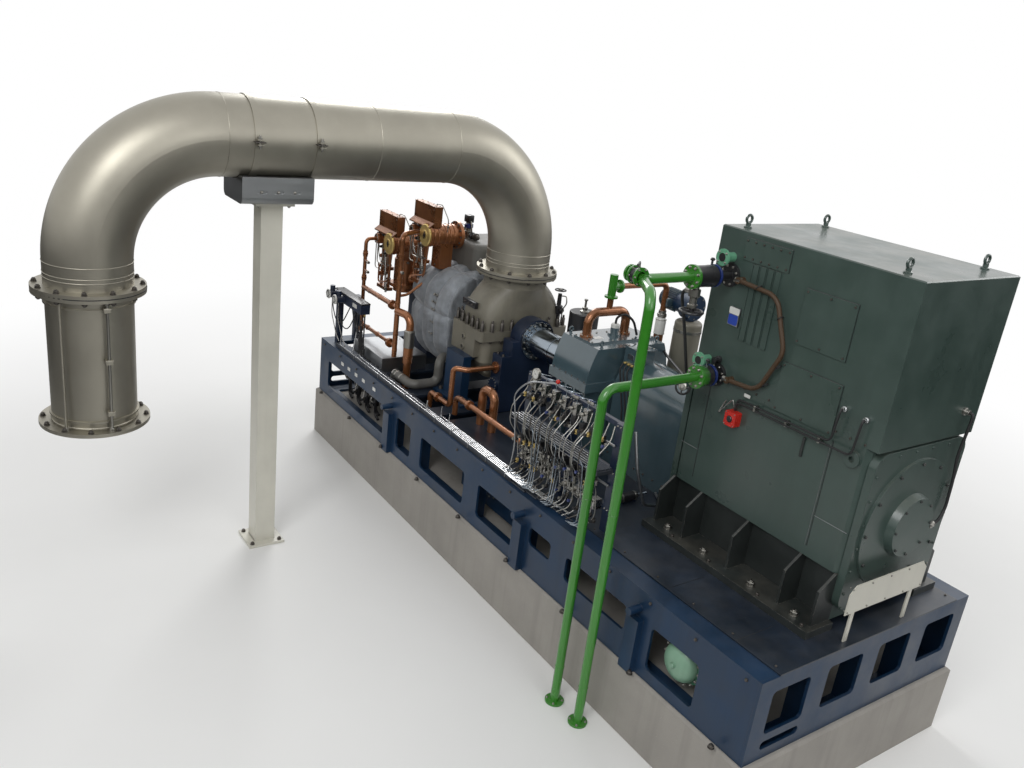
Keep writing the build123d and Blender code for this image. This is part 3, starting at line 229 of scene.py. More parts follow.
def noise_node(tree, place, scale, detail=4.0, rough=0.6, stretch=(1, 1, 1)):
    """Noise at place, scaled, with place stretched first. Returns its value."""
    move = tree.nodes.new("ShaderNodeMapping")
    move.inputs["Scale"].default_value = stretch
    tree.links.new(place, move.inputs["Vector"])
    made = tree.nodes.new("ShaderNodeTexNoise")
    tree.links.new(move.outputs["Vector"], made.inputs["Vector"])
    made.inputs["Detail"].default_value = detail
    made.inputs["Roughness"].default_value = rough
    if isinstance(scale, bpy.types.NodeSocket):
        tree.links.new(scale, made.inputs["Scale"])
    else:
        made.inputs["Scale"].default_value = scale
    return made.outputs["Fac"]


def blotches_group():
    """Soft blotches and fine mottle for paint that has been wiped and touched up."""
    tree, start, end = new_group("Blotches", [("Scale", 3.0), ("Contrast", 2.0)], ["Blotch", "Mottle"])
    large = noise_node(tree, start["Place"], start["Scale"])
    shifted = math_node(tree, "SUBTRACT", large, 0.5)
    tree.links.new(math_node(tree, "MULTIPLY_ADD", shifted, start["Contrast"], 0.5), end["Blotch"])
    fine = math_node(tree, "MULTIPLY", start["Scale"], 14.0)
    tree.links.new(noise_node(tree, start["Place"], fine, 2.0), end["Mottle"])
    return tree


def wear_group():
    """Wear along edges, from the angle between the rounded and the true surface, broken up by noise."""
    tree, start, end = new_group("Edge wear", [("Radius", 0.006), ("Amount", 0.5)], ["Wear"])
    soft = tree.nodes.new("ShaderNodeBevel")
    soft.samples = 4
    tree.links.new(start["Radius"], soft.inputs["Radius"])
    true = tree.nodes.new("ShaderNodeNewGeometry")
    turn = tree.nodes.new("ShaderNodeVectorMath")
    turn.operation = "DOT_PRODUCT"
    tree.links.new(soft.outputs["Normal"], turn.inputs[0])
    tree.links.new(true.outputs["Normal"], turn.inputs[1])
    edge = math_node(tree, "SUBTRACT", 1.0, turn.outputs["Value"])
    broken = noise_node(tree, start["Place"], 22.0, 5.0, 0.7)
    limit = math_node(tree, "SUBTRACT", 1.0, start["Amount"])
    sharp = math_node(tree, "SUBTRACT", math_node(tree, "MULTIPLY", edge, 5.0), limit)
    worn = math_node(tree, "MULTIPLY", math_node(tree, "MAXIMUM", sharp, 0.0), 4.0)
    chipped = math_node(tree, "SUBTRACT", broken, 0.48)
    tree.links.new(math_node(tree, "MULTIPLY_ADD", worn, chipped, 0.0), end["Wear"])
    return tree


def dust_group():
    """Dust and dried oil on faces that look up, thickest in patches."""
    tree, start, end = new_group("Dust", [("Amount", 0.5)], ["Dust", "Runs"])
    true = tree.nodes.new("ShaderNodeNewGeometry")
    parts = tree.nodes.new("ShaderNodeSeparateXYZ")
    tree.links.new(true.outputs["Normal"], parts.inputs[0])
    up = math_node(tree, "MULTIPLY_ADD", parts.outputs["Z"], 2.0, -1.0)
    patch = noise_node(tree, start["Place"], 2.3, 6.0, 0.65)
    patchy = math_node(tree, "SUBTRACT", patch, 0.42)
    spread = math_node(tree, "MULTIPLY_ADD", patchy, 3.0, 0.0)
    dusty = math_node(tree, "MULTIPLY", up, spread)
    tree.links.new(math_node(tree, "MULTIPLY", dusty, start["Amount"]), end["Dust"])
    streak = noise_node(tree, start["Place"], 9.0, 3.0, 0.55, (1, 1, 0.06))
    runs = math_node(tree, "SUBTRACT", streak, 0.5)
    tree.links.new(math_node(tree, "MULTIPLY_ADD", runs, 4.0, 0.0), end["Runs"])
    return tree


groups = {}


def shared(name):
    """A shader group, built when it is first asked for."""
    makers = {"blotches": blotches_group, "wear": wear_group, "dust": dust_group}
    if name not in groups:
        groups[name] = makers[name]()
    return groups[name]


def darker(base, share):
    """base with that share of its light."""
    return tuple(channel * share for channel in base)


def paint(
    name, base, roughness=0.38, wear=0.35, dust=0.4, under=(0.05, 0.048, 0.045), peel=0.1, coat=0.25,
    patchy=0.2, runs=0.5, metallic=0.0,
):
    """Enamel on steel: blotched colour, dirt in runs, dust on top, chipped edges and orange peel. A bright
    under colour makes the chipped edges painted highlights.
    """
    shade = Shade(name, base, roughness, metallic)
    blotch = shade.group(shared("blotches"), scale=2.6, contrast=2.4)
    chips_and_glints = shade.group(shared("wear"), amount=wear)
    film = shade.group(shared("dust"), amount=dust)
    tone = shade.mix(blotch.outputs["Blotch"], darker(base, 1 - patchy), darker(base, 1 + patchy))
    dirty = shade.mix(shade.spread(film.outputs["Runs"], 0.0, runs), tone, darker(base, 0.55))
    dusty = shade.mix(film.outputs["Dust"], dirty, colours().dust)
    shade.feed("Base Color", shade.mix(chips_and_glints.outputs["Wear"], dusty, under))
    shade.feed("Roughness", shade.spread(blotch.outputs["Blotch"], roughness * 0.75, roughness * 1.35))
    shade.set_input("Coat Weight", coat)
    shade.set_input("Coat Roughness", 0.18)
    shade.bump(blotch.outputs["Mottle"], peel, 0.002, 0.004)
    return shade.material


def metal(name, base, roughness=0.3, grain=(1, 1, 1), grain_scale=60.0, stain=0.5, bump=0.08, rounded=0.003):
    """Bare metal: grain along one way, and stains that dull it."""
    shade = Shade(name, base, roughness, 1.0)
    blotch = shade.group(shared("blotches"), scale=3.5, contrast=2.5)
    line = noise_node(shade.tree, shade.place, grain_scale, 4.0, 0.6, grain)
    tone = shade.mix(blotch.outputs["Blotch"], darker(base, 1 - 0.4 * stain), base)
    shade.feed("Base Color", shade.mix(line, darker(base, 0.82), tone))
    shade.feed("Roughness", shade.spread(line, roughness * 0.8, roughness * 1.3))
    shade.bump(line, bump, 0.001, rounded)
    return shade.material


def blasted_steel(name, base):
    """Bead-blasted stainless plate: an even dull sheen, faint cloudy marks and a fine pebble."""
    shade = Shade(name, base, 0.42, 1.0)
    cloud = shade.group(shared("blotches"), scale=1.4, contrast=3.0)
    marks = noise_node(shade.tree, shade.place, 6.0, 6.0, 0.7, (1, 1, 0.35))
    pebble = noise_node(shade.tree, shade.place, 420.0, 2.0)
    tone = shade.mix(cloud.outputs["Blotch"], darker(base, 0.82), darker(base, 1.1))
    shade.feed("Base Color", shade.mix(marks, darker(base, 0.86), tone))
    shade.feed("Roughness", shade.spread(marks, 0.36, 0.50))
    shade.bump(pebble, 0.06, 0.0006)
    return shade.material


def glass_cloth(name, base):
    """Coated glass cloth: fine weave, greasy patches and handling marks."""
    shade = Shade(name, base, 0.62)
    patch = shade.group(shared("blotches"), scale=4.0, contrast=2.2)
    weave = shade.node("ShaderNodeTexVoronoi", Scale=260.0)
    shade.join(shade.place, weave.inputs["Vector"])
    film = shade.group(shared("dust"), amount=0.2)
    tone = shade.mix(patch.outputs["Blotch"], darker(base, 0.55), darker(base, 1.45))
    greasy = shade.spread(film.outputs["Runs"], 0, 0.3)
    shade.feed("Base Color", shade.mix(greasy, tone, (0.13, 0.12, 0.11)))
    shade.set_input("Sheen Weight", 0.25)
    shade.set_input("Metallic", 0.25)
    shade.bump(weave.outputs["Distance"], 0.25, 0.0015)
    return shade.material


def cast_concrete(name, base):
    """Formed concrete: mottled grey with pores, sand grain and oil stains."""
    shade = Shade(name, base, 0.85)
    patch = shade.group(shared("blotches"), scale=1.6, contrast=2.2)
    sand = noise_node(shade.tree, shade.place, 140.0, 3.0)
    pores = shade.node("ShaderNodeTexVoronoi", Scale=26.0)
    shade.join(shade.place, pores.inputs["Vector"])
    hole = shade.node("ShaderNodeMapRange")
    hole.inputs["From Min"].default_value = 0.05
    hole.inputs["From Max"].default_value = 0.16
    shade.join(pores.outputs["Distance"], hole.inputs["Value"])
    film = shade.group(shared("dust"), amount=0.0)
    tone = shade.mix(patch.outputs["Blotch"], darker(base, 0.74), darker(base, 1.14))
    stained = shade.mix(shade.spread(film.outputs["Runs"], 0, 0.5), tone, darker(base, 0.5))
    shade.feed("Base Color", shade.mix(sand, darker(base, 0.8), stained))
    height = math_node(shade.tree, "MULTIPLY_ADD", sand, 0.25, hole.outputs["Result"])
    shade.bump(height, 0.5, 0.004, 0.006)
    return shade.material


def plastic(name, base, roughness=0.35, grain=0.05):
    """Moulded plastic or rubber, slightly scuffed."""
    shade = Shade(name, base, roughness)
    scuff = shade.group(shared("blotches"), scale=8.0, contrast=2.0)
    shade.feed("Base Color", shade.mix(scuff.outputs["Blotch"], darker(base, 0.85), darker(base, 1.15)))
    shade.feed("Roughness", shade.spread(scuff.outputs["Mottle"], roughness * 0.7, roughness * 1.5))
    shade.bump(scuff.outputs["Mottle"], grain, 0.001, 0.002)
    return shade.material


def hose_braid(name, base):
    """A ribbed hose under a brown braid."""
    shade = Shade(name, base, 0.55)
    rib = shade.node("ShaderNodeTexWave", Scale=38.0, Distortion=1.5)
    rib.bands_direction = "DIAGONAL"
    shade.join(shade.place, rib.inputs["Vector"])
    shade.feed("Base Color", shade.mix(rib.outputs["Fac"], darker(base, 0.45), base))
    shade.bump(rib.outputs["Fac"], 0.4, 0.003)
    return shade.material


finishes = {}


def colours():
    """The colours now set."""
    return bpy.context.scene.finish_colours


def finish(name):
    """A finish by its name, made when it is first asked for."""
    tint = colours()
    makers = {
        "concrete": lambda n: cast_concrete(n, tint.concrete),
        "frame_blue": lambda n: paint(n, tint.frame_blue, 0.4, 0.45, 0.05, coat=0.08),
        "deck_blue": lambda n: paint(n, tint.deck_blue, 0.38, 0.3, 0.08, coat=0.15, patchy=0.35),
        "pedestal_blue": lambda n: paint(n, tint.pedestal_blue, 0.36, 0.4, 0.12, coat=0.25),
        "generator_grey": lambda n: paint(
            n, tint.generator_grey, 0.32, 0.3, 0.35, coat=0.3, patchy=0.1, runs=0.2
        ),
        "casing_grey": lambda n: paint(
            n, tint.casing_grey, 0.42, 0.25, 0.2, (0.06, 0.045, 0.03), 0.1, 0.05, 0.2, 0.4
        ),
        "chest_grey": lambda n: paint(n, tint.chest_grey, 0.5, 0.1, 0.25, coat=0.0, patchy=0.15),
        "gear_teal": lambda n: paint(n, tint.gear_teal, 0.14, 0.25, 0.06, coat=1.0, patchy=0.12, runs=0.2),
        # Near-black as painted shade under the generator's overhang; its bright under colour on worn edges is
        # a painted highlight.
        "feet_grey": lambda n: paint(
            n, (0.018, 0.022, 0.021), 0.4, 0.75, 0.2, (0.30, 0.28, 0.24), patchy=0.3
        ),
        "actuator_brown": lambda n: paint(
            n, tint.actuator_brown, 0.27, 0.4, 0.08, (0.42, 0.30, 0.18), 0.15, 0.4, 0.3, 0.6, 0.6
        ),
        "pipe_green": lambda n: paint(n, tint.pipe_green, 0.22, 0.12, 0.05, coat=0.6, patchy=0.08, runs=0.1),
        "pale_mint": lambda n: paint(n, (0.20, 0.36, 0.25), 0.35, 0.2, 0.15, patchy=0.15, runs=0.3),
        "jade_green": lambda n: paint(n, tint.jade_green, 0.3, 0.2, 0.1, patchy=0.1, runs=0.2),
        "board_white": lambda n: paint(
            n, tint.board_white, 0.4, 0.15, 0.15, (0.2, 0.18, 0.15), patchy=0.06, runs=0.12
        ),
        "signal_red": lambda n: plastic(n, tint.signal_red, 0.25),
        "duct_steel": lambda n: blasted_steel(n, tint.duct_steel),
        "aluminium_sheet": lambda n: metal(n, tint.sheet_metal, 0.34, (1, 0.08, 1), 30.0, 0.4, 0.03),
        "tube_steel": lambda n: metal(n, tint.tube_metal, 0.26, (0.1, 1, 1), 40.0, 0.5, 0.04),
        "tray_steel": lambda n: metal(n, (0.11, 0.12, 0.14), 0.5, (0.1, 1, 1), 40.0, 0.5, 0.03),
        "polished_steel": lambda n: metal(n, (0.36, 0.41, 0.46), 0.16, (1, 0.1, 0.1), 70.0, 0.35, 0.03),
        "bright_steel": lambda n: metal(n, (0.66, 0.67, 0.68), 0.2, (0.1, 1, 1), 40.0, 0.3, 0.02),
        "dark_bolt": lambda n: metal(n, (0.13, 0.12, 0.11), 0.42, (1, 1, 1), 90.0, 0.8),
        "bright_bolt": lambda n: metal(n, (0.36, 0.35, 0.32), 0.3, (1, 1, 1), 90.0, 0.6),
        "brass": lambda n: metal(n, (0.74, 0.56, 0.22), 0.42, (1, 1, 1), 60.0, 0.3),
        "insulation_cloth": lambda n: glass_cloth(n, tint.cloth),
        "hose_brown": lambda n: hose_braid(n, (0.075, 0.038, 0.014)),
        "black_rubber": lambda n: plastic(n, (0.012, 0.012, 0.013), 0.5, 0.1),
        "black_enamel": lambda n: plastic(n, (0.016, 0.016, 0.018), 0.3, 0.1),
        "valve_blue": lambda n: paint(n, (0.012, 0.03, 0.16), 0.3, 0.25, 0.1, coat=0.5),
        "dial_white": lambda n: plastic(n, (0.70, 0.70, 0.67), 0.3, 0.02),
        "label_blue": lambda n: plastic(n, (0.02, 0.06, 0.38), 0.35, 0.02),
    }
    if name not in finishes:
        finishes[name] = makers[name](name)
    return finishes[name]


def cover_node(name, material):
    """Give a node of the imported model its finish."""
    mesh = nodes[name].data
    mesh.materials.clear()
    mesh.materials.append(material)



up = Vector((0, 0, 1))
down = -up
near_way = Vector((0, -1, 0))
far_way = -near_way
ahead_way = Vector((1, 0, 0))
back_way = -ahead_way


# Helpers for rows, grids and rings of places. Lengths are in metres.
def ends(low, high, inset):
    """The two numbers that lie inset from low and from high."""
    return low + inset, high - inset


def evenly(low, high, count):
    """Numbers in equal steps from low to high."""
    return [low + (high - low) * step / (count - 1) for step in range(count)]


def grid(xs, ys, zs):
    """Every place with one of xs, one of ys and one of zs. Each of the three is a number or several."""
    choices = [(values,) if isinstance(values, (int, float)) else values for values in (xs, ys, zs)]
    return [Vector(place) for place in itertools.product(*choices)]


def local(origin):
    """A call that gives the place at x, y, z from origin."""
    origin = Vector(origin)
    return lambda x, y, z: origin + Vector((x, y, z))


def across(direction):
    """Two unit vectors at right angles to a direction and to each other."""
    along = Vector(direction).normalized()
    side = Vector((0, 0, 1)) if abs(along.z) < 0.9 else Vector((1, 0, 0))
    first = side.cross(along).normalized()
    return first, along.cross(first)


def circle(centre, first, second, radius, sides, turn=0.0):
    """Points round centre, in the plane of the unit vectors first and second."""
    angles = [turn + step * math.tau / sides for step in range(sides)]
    return [centre + (first * math.cos(a) + second * math.sin(a)) * radius for a in angles]


def ring_of(count, centre, axis, radius, turn=0.0):
    """Places evenly round an axis."""
    return circle(Vector(centre), *across(axis), radius, count, turn)


def rounded(points, bend):
    """points with each corner turned into a short arc."""
    points = [Vector(point) for point in points]
    path = [points[0]]
    for before, corner, after in zip(points, points[1:], points[2:]):
        back = before - corner
        ahead = after - corner
        start = corner + back.normalized() * min(bend, back.length / 2)
        end = corner + ahead.normalized() * min(bend, ahead.length / 2)
        for step in range(5):
            share = step / 4
            path.append(start.lerp(corner, share).lerp(corner.lerp(end, share), share))
    return path + [points[-1]]


def sagging(start, end, drop, steps=10):
    """Points of a cord that hangs from start to end, drop below its chord."""
    start, end = Vector(start), Vector(end)
    shares = [step / steps for step in range(steps + 1)]
    return [start.lerp(end, share) - up * (4 * drop * share * (1 - share)) for share in shares]


# Mesh helpers. Each adds to a bmesh, in metres.
def skin(bm, rings, closed=False):
    """Faces between rings of points. closed joins the last ring to the first, or else both get caps."""
    loops = [[bm.verts.new(point) for point in ring] for ring in rings]
    pairs = list(zip(loops, loops[1:])) + ([(loops[-1], loops[0])] if closed else [])
    for low, high in pairs:
        for step in range(len(low)):
            bm.faces.new((low[step - 1], low[step], high[step], high[step - 1]))
    if not closed:
        bm.faces.new(reversed(loops[0]))
        bm.faces.new(loops[-1])
    return loops


def turned(bm, start, axis, profile, sides=16, turn=0.0):
    """A turned form from start along an axis. profile holds pairs of distance along it and radius."""
    start = Vector(start)
    along = Vector(axis).normalized()
    first, second = across(along)
    skin(bm, [circle(start + along * reach, first, second, radius, sides, turn) for reach, radius in profile])


def rod(bm, start, end, radius, sides=10):
    """A round rod with softened ends."""
    axis = Vector(end) - Vector(start)
    reach = axis.length
    edge = min(radius * 0.25, reach * 0.2)
    profile = [(0, radius - edge), (edge, radius), (reach - edge, radius), (reach, radius - edge)]
    turned(bm, start, axis, profile, sides)


def bar(bm, start, way, reach, radius, sides=10):
    """A rod from start along a way."""
    rod(bm, start, Vector(start) + way * reach, radius, sides)


def tube(bm, points, radius, bend=0.03, sides=8):
    """A tube along points, its corners rounded."""
    path = rounded(points, bend)
    first = across(path[1] - path[0])[0]
    rings = []
    for step, place in enumerate(path):
        along = (path[min(step + 1, len(path) - 1)] - path[max(step - 1, 0)]).normalized()
        first = (first - along * first.dot(along)).normalized()
        rings.append(circle(place, first, along.cross(first), radius, sides))
    skin(bm, rings)


def swept_ring(bm, centre, axis, sides, section):
    """A closed ring round an axis. section gives the ring of points at one spoke, which starts at centre."""
    along = Vector(axis).normalized()
    spokes = circle(Vector(), *across(along), 1.0, sides)
    skin(bm, [section(Vector(centre), spoke, along) for spoke in spokes], True)


def hoop(bm, centre, axis, radius, thick, sides=32, section=8):
    """A ring of round section."""
    swept_ring(bm, centre, axis, sides, lambda middle, spoke, along: circle(
        middle + spoke * radius, spoke, along, thick, section
    ))


def band(bm, centre, axis, radius, width, thick, sides=48):
    """A flat band round an axis."""
    half = width / 2
    corners = ((radius, -half), (radius, half), (radius + thick, half), (radius + thick, -half))
    swept_ring(bm, centre, axis, sides, lambda middle, spoke, along: [
        middle + spoke * reach + along * step for reach, step in corners
    ])


def slab(bm, low, high, edge=0.003):
    """A block between two corners, its edges rounded."""
    (x0, y0, z0), (x1, y1, z1) = low, high
    outline = ((x0, y0), (x1, y0), (x1, y1), (x0, y1))
    loops = skin(bm, [[Vector((x, y, z)) for x, y in outline] for z in (z0, z1)])
    edges = {e for loop in loops for vert in loop for e in vert.link_edges}
    bmesh.ops.bevel(bm, geom=list(edges), offset=edge, segments=2, affect="EDGES", profile=0.5)


def block(bm, centre, size, edge=0.003):
    """A block of a size round its centre."""
    half = Vector(size) / 2
    slab(bm, Vector(centre) - half, Vector(centre) + half, edge)


def plate(bm, centre, facing, width, height, thick=0.002):
    """A thin plate with clipped corners: a label or a cover. Its height runs towards the top."""
    centre = Vector(centre)
    along = Vector(facing).normalized()
    first, second = across(along)
    clip = min(width, height) * 0.12
    a, b = width / 2, height / 2
    outline = [(a, clip - b), (a, b - clip), (a - clip, b), (clip - a, b),
               (-a, b - clip), (-a, clip - b), (clip - a, -b), (a - clip, -b)]
    skin(bm, [[centre + along * step + first * x + second * y for x, y in outline] for step in (0, thick)])


# Small parts. Their proportions follow one size, the thread or the bore.
def sized(profile, size):
    """A profile whose distances and radii are shares of a size."""
    return [(reach * size, radius * size) for reach, radius in profile]


washer_shape = ((0, 1.05), (0.15, 1.05))
hexagon_shape = ((0.15, 0.8), (0.22, 0.9), (0.85, 0.9), (0.95, 0.78))
thread_shape = ((0.9, 0.5), (1.25, 0.5), (1.3, 0.42))
screw_shape = ((0, 1), (0.8, 1), (1, 0.85), (1, 0.45), (0.5, 0.42))
collar_shapes = (((-1, 0.8), (-0.35, 0.8)), ((0.4, 0.8), (1, 0.8)))
union_hexagon = ((-0.4, 0.9), (-0.32, 1), (0.32, 1), (0.4, 0.9))
valve_end = ((0.8, 0.6), (1.35, 0.6), (1.4, 0.4), (1.7, 0.4))
lever_hub = ((0, 0.4), (0.2, 0.4))
gauge_case = ((0, 0.8), (0.105, 1), (0.7, 1), (0.77, 0.94), (0.63, 0.88))
gauge_dial = ((0, 0.88), (0.028, 0.88))


def nut(bm, place, axis, size, turn=0.3):
    """A hexagon nut for a thread of that size, with its washer and the end of the thread."""
    turned(bm, place, axis, sized(washer_shape, size), 14)
    turned(bm, place, axis, sized(hexagon_shape, size), 6, turn)
    turned(bm, place, axis, sized(thread_shape, size), 10)


def cap_screw(bm, place, axis, size):
    """A round-headed screw with a hexagon socket."""
    turned(bm, place, axis, sized(screw_shape, size), 12)


def union(bm, place, axis, size):
    """A pipe union: two collars and the hexagon between them."""
    for collar in collar_shapes:
        turned(bm, place, axis, sized(collar, size), 12)
    turned(bm, place, axis, sized(union_hexagon, size), 6)


def each(make, bm, places, *settings):
    """The same small part at each of the places."""
    for place in places:
        make(bm, place, *settings)


def plate_screws(bm, low, high, facing, size, inset=0.02):
    """A screw near each corner of a plate, given by two corners that agree in the way it faces."""
    pairs = [ends(a, b, inset) if abs(b - a) > 1e-6 else a for a, b in zip(low, high)]
    each(cap_screw, bm, grid(*pairs), facing, size)


def handwheel(rim, hub, centre, axis, radius, thick=0.006, spokes=4):
    """A handwheel: rim and spokes in one mesh, the hub in another."""
    centre = Vector(centre)
    hoop(rim, centre, axis, radius, thick, 24, 7)
    for spoke in ring_of(spokes, centre, axis, radius):
        rod(rim, centre, spoke, thick * 0.7, 6)
    half = Vector(axis).normalized() * thick * 2
    rod(hub, centre - half, centre + half, thick * 2.2)


def lever_valve(body, lever, place, along, rise, size=0.03):
    """A ball valve on a tube running along, with hexagon ends and a flat lever."""
    place, along, rise = Vector(place), Vector(along).normalized(), Vector(rise).normalized()
    half = along * size * 0.9
    rod(body, place - half, place + half, size * 0.62, 12)
    for way in (-along, along):
        turned(body, place, way, sized(valve_end, size), 6)
    bar(body, place, rise, size * 1.1, size * 0.28, 8)
    tip = place + rise * size * 1.15
    turned(lever, tip, rise, sized(lever_hub, size), 10)
    bends = [tip + (along * out + rise * lift) * size for out, lift in ((0, 0.1), (1.2, 0.2), (3.2, 0.7))]
    tube(lever, bends, size * 0.17, size * 0.5, 6)


def gauge(case, dial, marks, centre, facing, radius):
    """A round gauge: case with its rim, a white dial, and the pointer and scale on it."""
    centre, facing = Vector(centre), Vector(facing).normalized()
    turned(case, centre, facing, sized(gauge_case, radius), 28)
    face = centre + facing * radius * 0.644
    turned(dial, face, facing, sized(gauge_dial, radius), 28)
    first, second = across(facing)
    front = face + facing * radius * 0.042
    for degrees in range(-135, 136, 27):
        turn = math.radians(degrees)
        spoke = (first * math.sin(turn) + second * math.cos(turn)) * radius
        rod(marks, front + spoke * 0.66, front + spoke * 0.8, radius * 0.02, 4)
    pointer = (second - first).normalized() * radius * 0.6
    rod(marks, front - second * radius * 0.2, front + pointer, radius * 0.025, 5)
    bar(marks, front, facing, radius * 0.08, radius * 0.08, 8)


def piece(name, bm, finish_name, *replaced):
    """An object from a mesh that is ready, with its finish, in place of the nodes that it replaces."""
    bmesh.ops.recalc_face_normals(bm, faces=bm.faces)
    mesh = bpy.data.meshes.new(name)
    bm.to_mesh(mesh)
    bm.free()
    mesh.shade_smooth()
    mesh.set_sharp_from_angle(angle=math.radians(35))
    mesh.materials.append(finish(finish_name))
    made = bpy.data.objects.new(name, mesh)
    bpy.context.scene.collection.objects.link(made)
    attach(made, "root")
    if replaced:
        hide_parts(*replaced)
    return made


class Kit:
    """The meshes of one group of pieces, one for each finish."""

    def __init__(self, name):
        self.name = name
        self.meshes = {}

    def __getitem__(self, finish_name):
        if finish_name not in self.meshes:
            self.meshes[finish_name] = bmesh.new()
        return self.meshes[finish_name]

    def close(self):
        """Make an object from each mesh."""
        for finish_name, bm in self.meshes.items():
            piece(f"{self.name}_{finish_name}", bm, finish_name)
        return {"FINISHED"}


def middle_of(name):
    """The middle of a node's box."""
    low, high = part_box(name)
    return (low + high) / 2


# Places that several groups share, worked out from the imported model
shaft_z = middle_of("turbine_coupling_guard").z
generator_y = middle_of("outer_end_shield").y

# Finishes that are not the one of the node's slot in the record
own_finish = {
    "turbine_coupling_guard": "polished_steel",
    "accumulator": "black_enamel",
    "vent_hose": "hose_brown",
    "deck_plating": "deck_blue",
    "cross_members": "deck_blue",
    "steam_chest": "chest_grey",
    "insulated_drain": "chest_grey",
    "cable_tray": "tray_steel",
    "rack_tubes": "tray_steel",
    "vent_branch": "actuator_brown",
    # The generator's feet take the near-black feet finish: painted shade under the housing, with painted
    # highlights on the edges.
    "near_feet": "feet_grey",
    "far_feet": "feet_grey",
}


def cover_part(name, finish_name, **limits):
    """Give a node's faces another finish where their middles lie within limits such as low_y or high_z."""
    mesh = nodes[name].data
    mesh.materials.append(finish(finish_name))
    place = nodes[name].matrix_world
    low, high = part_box(name)
    for face in mesh.polygons:
        middle = place @ face.center
        lowest = [limits.get("low_" + axis, getattr(low, axis)) for axis in "xyz"]
        highest = [limits.get("high_" + axis, getattr(high, axis)) for axis in "xyz"]
        if all(a <= m <= b for a, m, b in zip(lowest, middle, highest)):
            face.material_index = len(mesh.materials) - 1


class TURBINE_OT_finishes(bpy.types.Operator):
    """Paint, metal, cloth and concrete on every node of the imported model"""

    bl_idname = "turbine.finishes"
    bl_label = "Finish the Model"

    def execute(self, context):
        slots = {part["node"]: part["material_slot"] for part in frame["record"]["subparts"]}
        for name in nodes:
            cover_node(name, finish(own_finish.get(name, slots[name])))
        green_foot, green_depth, painted_shade_height = 2.8, 0.24, 0.4
        green_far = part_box("vent_branch")[0].y + green_depth
        cover_part("vent_branch", "pipe_green", low_z=green_foot, high_y=green_far)
        # The housing's lowest band takes the dark feet finish as painted shade under its overhang.
        cover_part("generator_housing", "feet_grey", high_z=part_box("generator_housing")[0].z + painted_shade_height)
        for node, painted in (("return_nozzle", 0.03), ("supply_nozzle", 0.06)):
            cover_part(node, "black_enamel", low_y=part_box(node)[0].y + painted)
        return {"FINISHED"}


